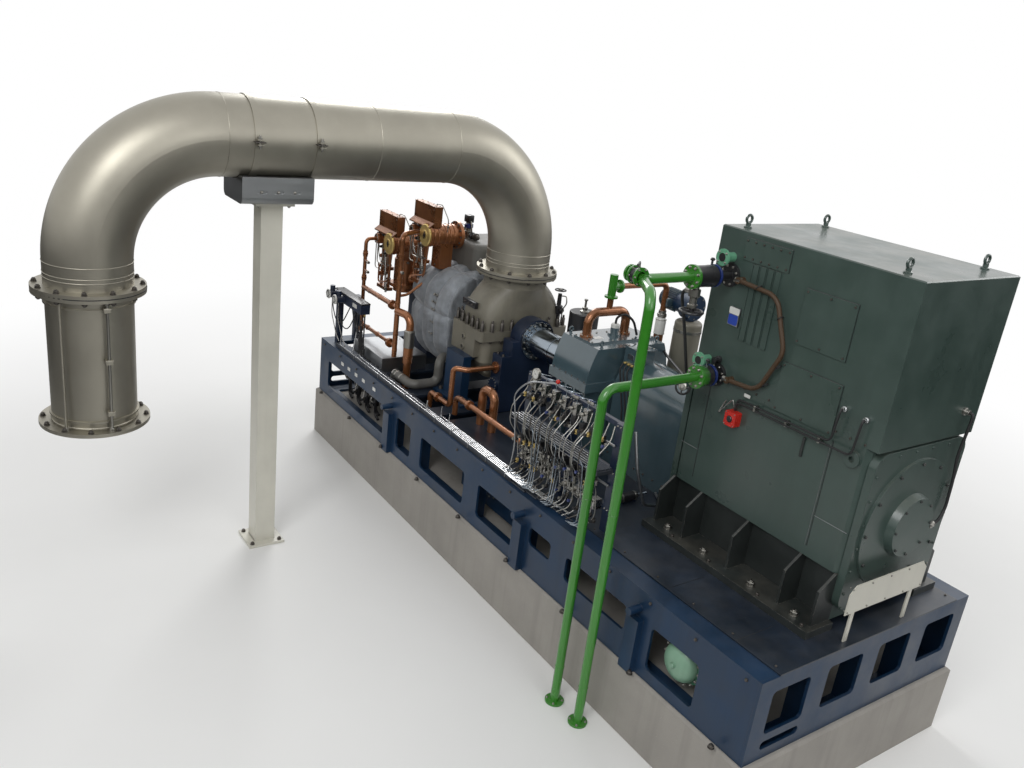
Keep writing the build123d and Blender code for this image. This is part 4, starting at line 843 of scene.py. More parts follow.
class TURBINE_OT_duct_fittings(bpy.types.Operator):
    """Nuts on the duct's flanges, weld beads, and the bolts of clamps, saddle and column"""

    bl_idname = "turbine.duct_fittings"
    bl_label = "Duct Fittings"

    radius = 0.35
    bolt_circle = 0.415
    plate = 0.032
    packing = 0.0016

    def execute(self, context):
        kit = Kit("duct_fittings")
        low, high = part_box("duct_turbine_elbow")
        x = (low.x + high.x) / 2
        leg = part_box("duct_outer_elbow")[0].y + (high.x - low.x) / 2
        crown = high.z - self.radius
        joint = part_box("expansion_joint")[0].z + self.plate
        self.flanges(kit, x, leg, low.z, joint)
        self.beads(kit, x, leg, low.z, crown, joint)
        self.ties(kit, x, leg, low.z - self.plate, joint)
        self.clamps(kit, crown)
        self.column(kit, x)
        return kit.close()

    def flanges(self, kit, x, leg, foot, joint):
        """Nuts on both sides of the two upper joints and on top of the lowest flange, and the packings."""
        rows = [(y, foot + side * self.plate, side) for y in (0, leg) for side in (1, -1)]
        for y, z, side in rows + [(leg, joint, 1)]:
            places = ring_of(12, (x, y, z), up * side, self.bolt_circle, math.radians(15))
            each(nut, kit["dark_bolt"], places, up * side, 0.024)
        for y in (0, leg + self.packing):
            band(kit["black_enamel"], (x, y, foot), up, 0.4472, 0.008, self.packing, 64)

    def beads(self, kit, x, leg, foot, crown, joint):
        """Weld beads round both legs and the run, and the rings at the ends of the expansion joint."""
        for place in grid(x, (0, leg), (foot + 0.105, foot + 0.14, foot + 0.23)):
            hoop(kit["duct_steel"], place, up, self.radius, 0.0035, 64, 5)
        for y in (leg + 1.06, -1.06, -1.9):
            hoop(kit["duct_steel"], (x, y, crown), far_way, self.radius, 0.003, 64, 5)
        for z in (joint + 0.012, joint + 1.12):
            hoop(kit["duct_steel"], (x, leg, z), up, self.radius - 0.004, 0.006, 64, 6)

    def ties(self, kit, x, leg, foot, joint):
        """Two tie bolts through the lowest flanges, one with its long rod and brackets."""
        for dx, dy in ((0.276, -0.276), (0.392, 0.06)):
            nut(kit["bright_bolt"], (x + dx, leg + dy, joint), up, 0.026)
            nut(kit["bright_bolt"], (x + dx, leg + dy, foot), down, 0.026)
        at = local((x + 0.392, leg + 0.06, 0))
        rod(kit["bright_bolt"], at(0, 0, joint), at(0, 0, foot), 0.013, 12)
        for z in (joint + 0.16, joint + 0.62, foot + self.plate - 0.1):
            rod(kit["duct_steel"], at(-0.062, -0.01, z), at(0.004, 0, z), 0.014, 8)
            block(kit["duct_steel"], at(0, 0, z), (0.04, 0.06, 0.04), 0.004)

    def clamps(self, kit, crown):
        """Bolts and dark plates between the ears of the two bands."""
        low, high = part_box("duct_clamps")
        x = high.x - 0.03
        for y in ends(low.y, high.y, 0.03):
            for side, way in ((0.022, up), (-0.022, down)):
                nut(kit["bright_bolt"], (x, y, crown + side), way, 0.02)
                bar(kit["bright_bolt"], (x, y, crown), up, side * 2.6, 0.01)
            block(kit["dark_bolt"], (high.x - 0.0395, y, crown), (0.071, 0.09, 0.01))

    def column(self, kit, x):
        """Nuts in the saddle's slots, under its plate and on the anchors of the foot, and weld beads."""
        low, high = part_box("duct_saddle")
        y = (low.y + high.y) / 2
        slots = grid(high.x - 0.012, (y - 0.15, y, y + 0.15), low.z + 0.11)
        each(nut, kit["bright_bolt"], slots, ahead_way, 0.014)
        corners = ((x - 0.14, x + 0.14), (y - 0.14, y + 0.14))
        each(nut, kit["dark_bolt"], grid(*corners, 0.025), up, 0.022)
        each(nut, kit["bright_bolt"], grid(*corners, low.z - 0.025), down, 0.016)
        for z in (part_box("duct_column")[0].z + 0.026, low.z - 0.026):
            for side in (-0.1, 0.1):
                for bead_y in (y + 0.1, y - 0.1):
                    rod(kit["board_white"], (x + side, bead_y, z), (x - side * 0.98, bead_y, z), 0.006, 6)


class TURBINE_OT_casing_studs(bpy.types.Operator):
    """Tall studs round the exhaust casing's joint, its lug and eyes, and the nuts of feet and pedestals"""

    bl_idname = "turbine.casing_studs"
    bl_label = "Casing Studs"

    def execute(self, context):
        kit = Kit("casing_studs")
        low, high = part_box("exhaust_casing_lower")
        half_flange = 0.055
        rows = grid(evenly(low.x + 0.06, high.x - 0.05, 6), ends(low.y, high.y, 0.035), high.z + half_flange)
        rows += grid(high.x - 0.014, evenly(-0.44, 0.44, 8), high.z + half_flange)
        rows += grid(low.x + 0.014, (-0.47, 0.47), high.z + half_flange)
        for place in rows:
            self.tall_stud(kit["dark_bolt"], place, 0.021)
            nut(kit["dark_bolt"], (place.x, place.y, high.z - half_flange), down, 0.02)
        self.lug(kit, low, high)
        for y in ends(low.y, high.y, 0.12):
            bar(kit["casing_grey"], (high.x - 0.03, y, high.z - 0.4), ahead_way, 0.036, 0.03, 14)
        self.feet(kit)
        self.front(kit)
        return kit.close()

    def tall_stud(self, bm, place, size):
        """A stud with a long sleeve nut, as on a hot joint."""
        turned(bm, place, up, sized(((0, 1.15), (0.2, 1.15)), size), 14)
        turned(bm, place, up, sized(((0.2, 1), (4.2, 1), (4.4, 0.85)), size), 6, 0.2)
        turned(bm, place, up, sized(((4.3, 0.6), (5.6, 0.6), (5.8, 0.5)), size), 12)

    def lug(self, kit, low, high):
        """Two eyes on the casing's side with black discs as painted shade in their holes, and the dark lug
        above them with its nuts.
        """
        for z in (high.z - 0.086, high.z - 0.203):
            eye = Vector(((low.x + high.x) / 2 - 0.036, low.y, z))
            rim = [(0, 0.036), (0.014, 0.034), (0.018, 0.026), (0.006, 0.022)]
            turned(kit["casing_grey"], eye, near_way, rim, 20)
            # Black disc in the eye's hole: painted shade.
            turned(kit["black_enamel"], eye, near_way, [(0.001, 0.022), (0.008, 0.022)])
        at = local((low.x, low.y + 0.04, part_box("exhaust_casing_upper")[1].z - 0.33))
        slab(kit["black_enamel"], at(0.135, -0.012, -0.065), at(0.395, 0.03, 0.004))
        each(nut, kit["dark_bolt"], [at(x, -0.012, -0.03) for x in (0.19, 0.265, 0.34)], near_way, 0.012)

    def feet(self, kit):
        """Holding-down nuts on the turbine's feet."""
        low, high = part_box("turbine_feet")
        places = grid(ends(low.x, high.x, 0.06), ends(low.y, high.y, 0.06), low.z + 0.03)
        each(nut, kit["dark_bolt"], places, up, 0.026)

    def front(self, kit):
        """Holding-down nuts, round cover and joint lugs of the front pedestal."""
        low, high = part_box("front_pedestal")
        places = grid((high.x - 0.5, high.x - 0.3, high.x - 0.1), ends(low.y, high.y, 0.07), low.z + 0.05)
        each(nut, kit["dark_bolt"], places, up, 0.024)
        cover = (low.x, 0, high.z - 0.31)
        each(nut, kit["bright_bolt"], ring_of(12, cover, back_way, 0.175), back_way, 0.014)
        joint = high.z - 0.31
        for x, side in itertools.product((high.x - 0.48, high.x - 0.28, high.x - 0.08), (-1, 1)):
            block(kit["pedestal_blue"], (x, side * 0.3135, joint), (0.06, 0.033, 0.08))
            nut(kit["dark_bolt"], (x, side * 0.32175, joint + 0.04), up, 0.018)


class TURBINE_OT_insulation(bpy.types.Operator):
    """Quilted cloth over the turbine casing, with seams, creases and lacing hooks, and the drain's bands"""

    bl_idname = "turbine.insulation"
    bl_label = "Insulation"

    centre_z = 2.03

    def execute(self, context):
        kit = Kit("insulation")
        self.quilt("insulated_casing", 0.018, 0.032, self.casing_seams)
        low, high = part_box("insulated_casing")
        near = low.y + 0.012
        top_hook, slant = 2.32, 0.05
        for z in (top_hook, 2.235, 2.15, 2.0, 1.86):
            self.buckle(kit, (-1.985 - (top_hook - z) * slant, near + self.fall_back(z), z))
        radius, centre_z = 0.52, 2.08
        for degrees in range(-60, 61, 15):
            turn = math.radians(degrees)
            place = (high.x - 0.255, -radius * math.sin(turn), centre_z + radius * math.cos(turn))
            bar(kit["bright_bolt"], place, ahead_way, 0.03, 0.004, 6)
        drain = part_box("insulated_drain")[0]
        for step in (0.09, 0.15, 0.26):
            place = (drain.x + step, drain.y + 0.0525, 1.36)
            band(kit["bright_bolt"], place, ahead_way, 0.054, 0.022, 0.002, 32)
        return kit.close()

    def fall_back(self, z):
        """How far the casing's near side has fallen back at a height, in its rounded corners."""
        beyond = max(0.0, abs(z - self.centre_z) - 0.16)
        return beyond * beyond * 1.1

    def finer_surface(self, source, cell):
        """A smoothed copy of an object's surface in cells of one size, as a bmesh in the model's frame."""
        rough = bpy.data.objects.new(source.name + "_rough", source.data.copy())
        rough.matrix_world = source.matrix_world
        bpy.context.scene.collection.objects.link(rough)
        finer = rough.modifiers.new("cells", "REMESH")
        finer.mode = "VOXEL"
        finer.voxel_size = cell
        graph = bpy.context.evaluated_depsgraph_get()
        mesh = bpy.data.meshes.new_from_object(rough.evaluated_get(graph))
        mesh.transform(rough.matrix_world)
        bpy.data.objects.remove(rough)
        bm = bmesh.new()
        bm.from_mesh(mesh)
        bmesh.ops.smooth_vert(
            bm, verts=bm.verts, factor=0.5, use_axis_x=True, use_axis_y=True, use_axis_z=True
        )
        bm.normal_update()
        return bm

    def quilt(self, name, cell, depth, seams):
        """A finer copy of a node's surface, raised between its seams and creased, in place of the node."""
        bm = self.finer_surface(nodes[name], cell)
        low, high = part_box(name)
        proud = 0.016
        for vert in bm.verts:
            crease = noise.fractal(vert.co * 3.1, 0.8, 2.2, 4)
            stretched = Vector((vert.co.x * 3.0, vert.co.y * 7.0, vert.co.z * 2.2)) * 1.6
            wrinkle = 1 - abs(noise.noise(stretched)) * 2
            lift = depth * (seams(vert.co) + 0.55 * crease) + 0.005 * max(0.0, wrinkle) - 0.006
            vert.co += vert.normal * lift
            for axis in range(3):
                vert.co[axis] = min(max(vert.co[axis], low[axis] - proud), high[axis] + proud)
        made = piece(name + "_quilt", bm, "insulation_cloth", name)

    def casing_seams(self, place):
        """1 between the seams of the turbine casing's pads and below 0 on a seam."""
        along = min(abs(place.x - seam) for seam in (-2.53, -2.235, -1.99, -1.76))
        turn = math.degrees(math.atan2(place.z - self.centre_z, -place.y))
        metres_per_degree = 0.6 / 57.3
        round_seam = min(abs(turn - seam) for seam in (-62, 8, 62, 118)) * metres_per_degree
        nearest = min(along, round_seam)
        return min(1.0, nearest / 0.075) ** 0.6 * 1.7 - 0.9

    def buckle(self, kit, place):
        """A lacing hook on each side of a seam, with the wire between them."""
        at = local(place)
        reach = 0.028
        for side in (-reach, reach):
            rod(kit["bright_bolt"], at(side, 0.01, 0), at(side, -0.012, 0), 0.011, 12)
            hoop(kit["bright_bolt"], at(side, -0.012, 0), near_way, 0.012, 0.003, 14, 6)
        wire = [at(-reach, -0.014, 0.004), at(0, -0.02, -0.006), at(reach, -0.014, 0.004)]
        tube(kit["bright_bolt"], wire, 0.0022, 0.01, 5)


class TURBINE_OT_valve_gear(bpy.types.Operator):
    """Brass pistons, pilot valves, guide rods and small pipes of the two servo motors"""

    bl_idname = "turbine.valve_gear"
    bl_label = "Valve Gear"

    def execute(self, context):
        kit = Kit("valve_gear")
        self.servo(kit, "stop_valve_actuator", 0.51)
        self.servo(kit, "control_valve_actuator", 0.32)
        self.body_studs(kit)
        self.chest_fitting(kit)
        return kit.close()

    def servo(self, kit, node, drop):
        """What one servo motor carries. drop is how far its right guide rod reaches down."""
        low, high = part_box(node)
        at = local((low.x + 0.39, high.y - 0.42, high.z - 0.335))
        piston = [(-0.004, 0.128), (0.014, 0.128), (0.022, 0.118), (0.022, 0.06), (0.026, 0.055)]
        turned(kit["brass"], at(0, 0, 0), near_way, piston, 40)
        turned(kit["black_enamel"], at(0, 0, 0), near_way, [(0.02, 0.026), (0.03, 0.024)], 20)
        plate(kit["black_enamel"], at(0, -0.026, 0), near_way, 0.018, 0.085, 0.003)
        for y in (0.05, 0.105, 0.2, 0.255, 0.31):
            hoop(kit["actuator_brown"], at(0, y, 0), far_way, 0.125, 0.007, 48, 8)
        each(nut, kit["dark_bolt"], ring_of(12, at(0, 0.38, 0), near_way, 0.143), near_way, 0.013)
        self.box(kit, at)
        self.pilot(kit, at)
        self.guides(kit, at, drop)
        self.small_pipes(kit, at)

    def box(self, kit, at):
        """Lid screws, side screws and the cable of the servo motor's box."""
        lid = grid((-0.37, -0.24, -0.1, 0.04), (0.06, 0.125), 0.334)
        each(cap_screw, kit["bright_bolt"], [at(*place) for place in lid], up, 0.007)
        side = grid((-0.365, 0.065), 0.042, (0.3, 0.14))
        each(cap_screw, kit["dark_bolt"], [at(*place) for place in side], near_way, 0.008)
        over = [at(0.03, 0.09, 0.33), at(0.03, 0.09, 0.365), at(0.1, 0.12, 0.365)]
        tube(kit["tube_steel"], over + [at(0.13, 0.2, 0.2), at(0.13, 0.2, 0.06)], 0.006, 0.03)
        union(kit["bright_bolt"], at(0.13, 0.2, 0.12), up, 0.013)

    def pilot(self, kit, at):
        """The pilot valve's open bore, closed by a black disc as painted shade, and the bright fittings at
        its left.
        """
        bore = at(-0.3, -0.02, 0)
        rim = [(0, 0.06), (0.012, 0.058), (0.012, 0.036), (-0.002, 0.034)]
        turned(kit["actuator_brown"], bore, near_way, rim, 28)
        # Black disc in the bore: painted shade.
        turned(kit["black_enamel"], bore, near_way, [(0, 0.034), (0.003, 0.034)], 20)
        hoop(kit["bright_bolt"], bore + near_way * 0.012, near_way, 0.038, 0.0035, 24, 6)
        screws = ring_of(6, bore + near_way * 0.011, near_way, 0.05)
        each(cap_screw, kit["bright_bolt"], screws, near_way, 0.006)
        fitting = [(-0.01, 0.045), (0.018, 0.045), (0.022, 0.03), (0.045, 0.03)]
        tip = [(0.045, 0.022), (0.085, 0.022), (0.09, 0.016)]
        turned(kit["bright_bolt"], at(-0.35, 0.09, 0), back_way, fitting + tip, 20)
        each(nut, kit["bright_bolt"], [at(-0.368, 0.09, z) for z in (-0.03, 0.03)], back_way, 0.008)
        around = [at(-0.43, 0.09, 0), at(-0.46, 0.09, 0), at(-0.46, 0.09, -0.2), at(-0.4, 0.09, -0.3)]
        tube(kit["tube_steel"], around, 0.007, 0.03)
        lever_valve(kit["bright_bolt"], kit["dark_bolt"], at(-0.3, 0.05, 0.085), ahead_way, up, 0.014)

    def guides(self, kit, at, drop):
        """Guide rods, sliding rings on the columns, the bright cylinder and the lower flange's nuts."""
        for x in (-0.33, -0.14):
            for z in (-0.12, -0.3, -0.47):
                band(kit["bright_bolt"], at(x, 0.09, z), up, 0.024, 0.02, 0.004, 24)
            nut(kit["bright_bolt"], at(x, 0.09, -0.6), down, 0.018)
        cylinder = [(0, 0.02), (0.02, 0.034), (0.16, 0.034), (0.165, 0.02)]
        gland = [(0.2, 0.02), (0.205, 0.03), (0.27, 0.03), (0.29, 0.015)]
        turned(kit["bright_bolt"], at(-0.235, 0.09, -0.16), down, cylinder + gland, 24)
        rod(kit["polished_steel"], at(-0.235, 0.09, -0.12), at(-0.235, 0.09, -0.6), 0.01)
        top = at(-0.14, 0.02, -0.11)
        foot = top + Vector((0.08, 0, -drop))
        rod(kit["tube_steel"], top, foot, 0.013, 12)
        each(union, kit["bright_bolt"], [top.lerp(foot, share) for share in (0.12, 0.55, 0.9)], down, 0.022)
        flange = ring_of(8, at(0, 0.23, -0.35), down, 0.085)
        each(nut, kit["dark_bolt"], flange, up, 0.012)

    def small_pipes(self, kit, at):
        """Thin return tubes, the brown loop, and the unions, plugs and studs in front of the motor."""
        for y, deep in ((-0.012, 0.36), (0.012, 0.3)):
            dip = [at(-0.33, y, -0.07), at(-0.33, y, -deep), at(-0.145, y, -deep), at(-0.145, y, -0.12)]
            tube(kit["bright_bolt"], dip, 0.0065, 0.035)
        loop = [at(0.02, 0.03, -0.1), at(0.02, 0, -0.46), at(-0.2, -0.02, -0.52), at(-0.2, -0.02, -0.3)]
        tube(kit["actuator_brown"], loop, 0.011, 0.05, 10)
        plug = [(0, 0.016), (0.02, 0.016), (0.026, 0.01)]
        for x, z in ((-0.335, 0.06), (-0.2, 0.07), (-0.25, -0.09), (-0.13, -0.15)):
            union(kit["bright_bolt"], at(x, 0.035, z), up, 0.02)
            turned(kit["black_enamel"], at(x, 0.02, z), near_way, plug, 12)
        boss = [(0, 0.03), (0.035, 0.03), (0.04, 0.022), (0.06, 0.022)]
        for z in (-0.2, -0.42):
            turned(kit["actuator_brown"], at(-0.235, 0.06, z), near_way, boss)
            cap_screw(kit["bright_bolt"], at(-0.235, 0, z), near_way, 0.012)

    def body_studs(self, kit):
        """Cover studs of the stop valve's body."""
        middle = middle_of("stop_valve_body")
        cover = (middle.x - 0.03, middle.y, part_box("stop_valve_body")[1].z - 0.03)
        each(nut, kit["dark_bolt"], ring_of(10, cover, up, 0.15), up, 0.018)

    def chest_fitting(self, kit):
        """The pressure fitting on the steam chest, with its cross, valves, plugs and handwheel."""
        low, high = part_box("steam_chest")
        at = local((low.x + 0.27, low.y + 0.12, high.z - 0.015))
        bright = kit["bright_bolt"]
        black = kit["black_enamel"]
        cross = 0.06
        neck = [(0, 0.07), (0.02, 0.07), (0.022, 0.035), (0.08, 0.035), (0.082, 0.05), (0.1, 0.05)]
        turned(bright, at(0, 0, 0), up, neck + [(0.102, 0.03), (0.2, 0.03)], 24)
        each(nut, kit["dark_bolt"], ring_of(6, at(0, 0, 0.02), up, 0.055), up, 0.009)
        collar = [(0, 0.04), (0.01, 0.052), (0.05, 0.052), (0.06, 0.036)]
        turned(kit["valve_blue"], at(0, 0, 0.13), up, collar, 20)
        rod(bright, at(-0.11, 0, cross), at(0.15, 0, cross), 0.026, 14)
        turned(black, at(0.09, 0, cross), ahead_way, [(0, 0.042), (0.02, 0.042), (0.03, 0.03), (0.07, 0.03)])
        slab(black, at(-0.055, -0.04, 0.2), at(0.045, 0.04, 0.285), 0.008)
        lever_valve(bright, black, at(-0.1, -0.05, cross), far_way, up, 0.024)
        for x in (-0.07, 0.07):
            tube(bright, [at(x, 0, 0.02), at(x, 0, 0.15), at(x * 0.5, 0, 0.22)], 0.009, 0.04, 8)
            nut(bright, at(x, 0, 0.02), up, 0.014)
        plug = [(0, 0.045), (0.014, 0.045), (0.016, 0.028), (0.05, 0.028), (0.055, 0.018)]
        for x, way in ((-0.13, back_way), (0.17, ahead_way)):
            turned(kit["dark_bolt"], at(x, 0, cross), way, plug, 18)
        wheel = at(-0.02, -0.11, 0.13)
        handwheel(black, bright, wheel, near_way, 0.055, 0.006)
        bar(bright, wheel, far_way, 0.08, 0.009, 8)
        course = [at(0, -0.03, 0.17), at(-0.12, -0.05, 0.17), at(-0.16, -0.12, -0.02), at(-0.16, -0.2, -0.3)]
        tube(kit["tube_steel"], course, 0.007, 0.05)


class TURBINE_OT_oil_pipes(bpy.types.Operator):
    """Unions and branches of the oil pipes, and screws of the sheet cover"""

    bl_idname = "turbine.oil_pipes"
    bl_label = "Oil Pipes"

    def execute(self, context):
        kit = Kit("oil_pipes")
        brown = kit["actuator_brown"]
        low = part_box("control_oil_pipes")[0]
        left, right = (Vector((low.x + step, -0.92, 0)) for step in (0.023, 0.948))
        for upright, heights in ((left, (1.55, 1.72, 2.2, 2.5)), (right, (1.56, 1.76, 2.14, 2.42, 2.7))):
            each(union, brown, [upright + up * z for z in heights], up, 0.036)
        for upright, z, reach in ((left, 2.42, 0.13), (left, 2.3, 0.13), (right, 2.52, 0.09)):
            tip = upright + Vector((reach, -0.02, z))
            rod(brown, upright + up * z, tip, 0.017, 12)
            union(kit["bright_bolt"], tip, ahead_way, 0.02)
        at = local(right)
        tube(brown, [at(0, 0, 2.22), at(0, 0.12, 2.23), at(0, 0.3, 2.36)], 0.016, 0.05, 10)
        for z, share in itertools.product((1.61, 2.08), (0.2, 0.5, 0.8)):
            union(brown, left.lerp(right, share) + up * z, ahead_way, 0.034)
        rod(kit["bright_bolt"], at(0.245, 0.05, 1.88), at(0.245, 0.05, 1.66), 0.062, 24)
        self.sheet(kit)
        self.supply(kit)
        return kit.close()

    def sheet(self, kit):
        """Edge screws of the sheet cover."""
        low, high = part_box("sheet_cover")
        edge = grid(evenly(low.x + 0.04, high.x - 0.04, 7), low.y, low.z + 0.04)
        each(cap_screw, kit["bright_bolt"], edge, near_way, 0.007)
        back = grid(evenly(low.x + 0.03, high.x - 0.03, 6), high.y - 0.05, high.z)
        each(cap_screw, kit["bright_bolt"], back, up, 0.007)

    def supply(self, kit):
        """Unions of the lower supply pipe."""
        low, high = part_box("oil_supply_pipes")
        places = grid((low.x + 0.25, -0.35, high.x - 0.2), low.y + 0.045, low.z + 0.035)
        each(union, kit["actuator_brown"], places, ahead_way, 0.04)


class TURBINE_OT_frame_details(bpy.types.Operator):
    """Blank labels and nuts of the base frame, screws of the deck, and the cable tray's tubes"""

    bl_idname = "turbine.frame_details"
    bl_label = "Frame Details"

    def execute(self, context):
        kit = Kit("frame_details")
        low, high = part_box("near_side_girder")
        far_low, far_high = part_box("far_side_girder")
        web = low.y + 0.119
        labels = [low.x + share * (high.x - low.x) for share in (0.089, 0.115, 0.143, 0.171, 0.21)]
        each(plate, kit["dial_white"], grid(labels, web, high.z - 0.127), near_way, 0.075, 0.042)
        foot = low.z + 0.02
        anchors = grid(evenly(low.x + 0.2, high.x - 0.2, 9), (low.y + 0.05, far_high.y - 0.05), foot)
        turbine_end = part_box("turbine_end_frame")[0].x + 0.06
        generator_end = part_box("generator_end_frame")[1].x - 0.06
        anchors += grid((generator_end, turbine_end), (-1.15, -0.6, 0, 0.6, 1.15), foot)
        each(nut, kit["dark_bolt"], anchors, up, 0.024)
        for y, way in ((web, near_way), (far_low.y + 0.179, far_way)):
            row = grid(evenly(low.x + 0.1, high.x - 0.1, 16), y, high.z - 0.055)
            each(nut, kit["dark_bolt"], row, way, 0.013)
        self.deck_screws(kit)
        self.tray(kit)
        return kit.close()

    def deck_screws(self, kit):
        """Round-headed screws that hold the deck's plates, and the joints between the plates."""
        low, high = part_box("deck_plating")
        screws = grid(evenly(low.x + 0.08, high.x - 0.08, 12), ends(low.y, high.y, 0.04), high.z)
        each(cap_screw, kit["dark_bolt"], screws, up, 0.009)
        for joint in grid((0.4, 1.72, 2.6, 3.3), low.y + 0.01, high.z - 0.0015):
            bar(kit["black_enamel"], joint, far_way, 0.39, 0.003, 6)

    def tray(self, kit):
        """Black bars as painted shade in the slots of the tray's side, bright tubes along it with hooked
        ends, and ties.
        """
        low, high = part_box("cable_tray")
        end = 0.65
        # Black bars in the slots: painted shade.
        for slot in grid(evenly(low.x + 0.018, end - 0.042, 62), low.y + 0.0035, low.z + 0.022):
            bar(kit["black_enamel"], slot, ahead_way, 0.024, 0.006, 8)
        top = high.z + 0.007
        for step, begin in enumerate((0.1, 2.3, 0.6, 2.7, 2.5)):
            start = low.x + begin
            y = low.y + 0.014 + step * 0.022
            reach = end + 0.16 + 0.15 * step
            along = [(start, y + 0.01, top + 0.1), (start, y, top), (reach, y, top)]
            hook = [(reach + 0.02, y - 0.006, top + 0.004), (reach + 0.02, y - 0.016, top + 0.004)]
            back = [(end + 0.03, y - 0.015, top), (end - 0.1, y - 0.014, top)]
            tube(kit["bright_steel"], along + hook + back, 0.0055, 0.012, 8)
        near, far = low.y - 0.002, high.y + 0.002
        foot, over = low.z + 0.01, high.z + 0.015
        for x in evenly(low.x + 0.2, end - 0.1, 12):
            tie = [(x, near, foot), (x, near, over), (x, far, over), (x, far, foot)]
            tube(kit["aluminium_sheet"], tie, 0.003, 0.008, 5)


class TURBINE_OT_gear_details(bpy.types.Operator):
    """Bolts, labels, guard rings, breather and hoses of the gearbox, and the vessels behind it"""

    bl_idname = "turbine.gear_details"
    bl_label = "Gear Details"

    def execute(self, context):
        kit = Kit("gear_details")
        low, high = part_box("gearbox_case")
        for side in (up, down):
            z = high.z + 0.045 * side.z
            row = grid(evenly(low.x + 0.05, high.x - 0.05, 6), ends(low.y, high.y, 0.03), z)
            each(nut, kit["dark_bolt"], row, side, 0.018)
        self.cover(kit)
        self.lid_box(kit)
        self.guards(kit)
        self.terminal_box(kit)
        self.filter(kit)
        self.extractor(kit)
        self.pipes(kit)
        self.pedestal(kit)
        return kit.close()

    def cover(self, kit):
        """Screws of the inspection cover, blank plates, lifting eyes, and the breather with its hose."""
        low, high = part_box("gearbox_lid")
        top = high.z - 0.11
        screws = grid(ends(low.x, high.x, 0.165), evenly(-0.275, 0.495, 7), top)
        each(cap_screw, kit["bright_bolt"], screws, up, 0.009)
        plate(kit["dial_white"], (low.x + 0.3, -0.12, top), up, 0.11, 0.07)
        plate(kit["aluminium_sheet"], (low.x + 0.29, -0.2, top), up, 0.07, 0.045)
        for eye in grid(ends(low.x, high.x, 0.05), (-0.25, 0.45), top - 0.028):
            turned(kit["gear_teal"], eye, up, [(0, 0.02), (0.012, 0.02), (0.016, 0.012), (0.03, 0.012)], 14)
            hoop(kit["gear_teal"], eye + up * 0.052, ahead_way, 0.022, 0.008, 20, 8)
        at = local((low.x + 0.255, 0.13, high.z))
        cap = [(0, 0.03), (0.01, 0.043), (0.04, 0.043), (0.05, 0.034)]
        turned(kit["dial_white"], at(0, 0, -0.045), up, cap, 24)
        rise = [at(0, 0, 0), at(0, 0, 0.07), at(0.05, 0.06, 0.12)]
        fall = [at(0.09, 0.15, 0.05), at(0.09, 0.22, -0.1)]
        tube(kit["black_rubber"], rise + fall, 0.012, 0.05, 10)

    def lid_box(self, kit):
        """The black box on the lid's turbine end, with its bracket and glands."""
        at = local((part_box("gearbox_lid")[0].x, 0, 0))
        slab(kit["polished_steel"], at(-0.012, -0.29, 2.17), at(0.004, -0.255, 2.43), 0.004)
        slab(kit["black_enamel"], at(-0.13, -0.25, 2.19), at(0.002, -0.07, 2.37), 0.01)
        plate_screws(kit["bright_bolt"], at(-0.13, -0.25, 2.37), at(0, -0.07, 2.37), up, 0.006, 0.015)
        gland = [(0, 0.013), (0.03, 0.013), (0.032, 0.009), (0.04, 0.009)]
        for y in (-0.2, -0.12):
            turned(kit["brass"], at(-0.07, y, 2.19), down, gland, 6)

    def guards(self, kit):
        """Rings, nuts and blank plate of the turbine coupling's guard, and screws of the other guard."""
        low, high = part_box("turbine_coupling_guard")
        rings = ((low.x + 0.055, 0.03, "polished_steel"), (-0.42, 0.014, "polished_steel"),
                 (high.x - 0.13, 0.028, "black_enamel"))
        for x, width, name in rings:
            band(kit[name], (x, 0, shaft_z), ahead_way, 0.16, width, 0.005, 64)
        for x, way in ((low.x + 0.03, ahead_way), (high.x - 0.03, back_way)):
            each(nut, kit["bright_bolt"], ring_of(16, (x, 0, shaft_z), way, 0.187), way, 0.011)
        facing = Vector((0, -0.6, 0.8))
        label = Vector((high.x - 0.235, 0, shaft_z)) + facing * 0.1595
        plate(kit["dial_white"], label, facing, 0.11, 0.075, 0.003)
        low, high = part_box("generator_coupling_guard")
        for y, way in ((low.y, near_way), (high.y, far_way)):
            row = grid(evenly(low.x + 0.06, high.x - 0.06, 9), y, 1.42)
            each(cap_screw, kit["dark_bolt"], row, way, 0.01)

    def terminal_box(self, kit):
        """Lid, screws, blank plate and cables of the terminal box on the generator coupling's guard."""
        low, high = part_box("terminal_box")
        brim = Vector((0.006, 0.006, 0))
        lid = high.z + 0.012
        under = Vector((*low.xy, high.z - 0.004)) - brim
        slab(kit["gear_teal"], under, Vector((*high.xy, lid)) + brim, 0.004)
        plate_screws(kit["bright_bolt"], (*low.xy, lid), (*high.xy, lid), up, 0.008, 0.018)
        plate(kit["aluminium_sheet"], (low.x + 0.1, low.y, high.z - 0.08), near_way, 0.08, 0.05)
        for step in (0.05, 0.1, 0.15):
            at = local((low.x + step, low.y, low.z))
            gland = [(0, 0.014), (0.02, 0.014), (0.022, 0.01), (0.034, 0.01)]
            turned(kit["brass"], at(0, 0, 0.08), near_way, gland, 6)
            leaving = [at(0, -0.03, 0.08), at(0, -0.07, 0.03), at(0.12, -0.07, -0.35)]
            tube(kit["black_rubber"], leaving + [(low.x + step + 0.2, low.y - 0.075, 1.4)], 0.008, 0.05)

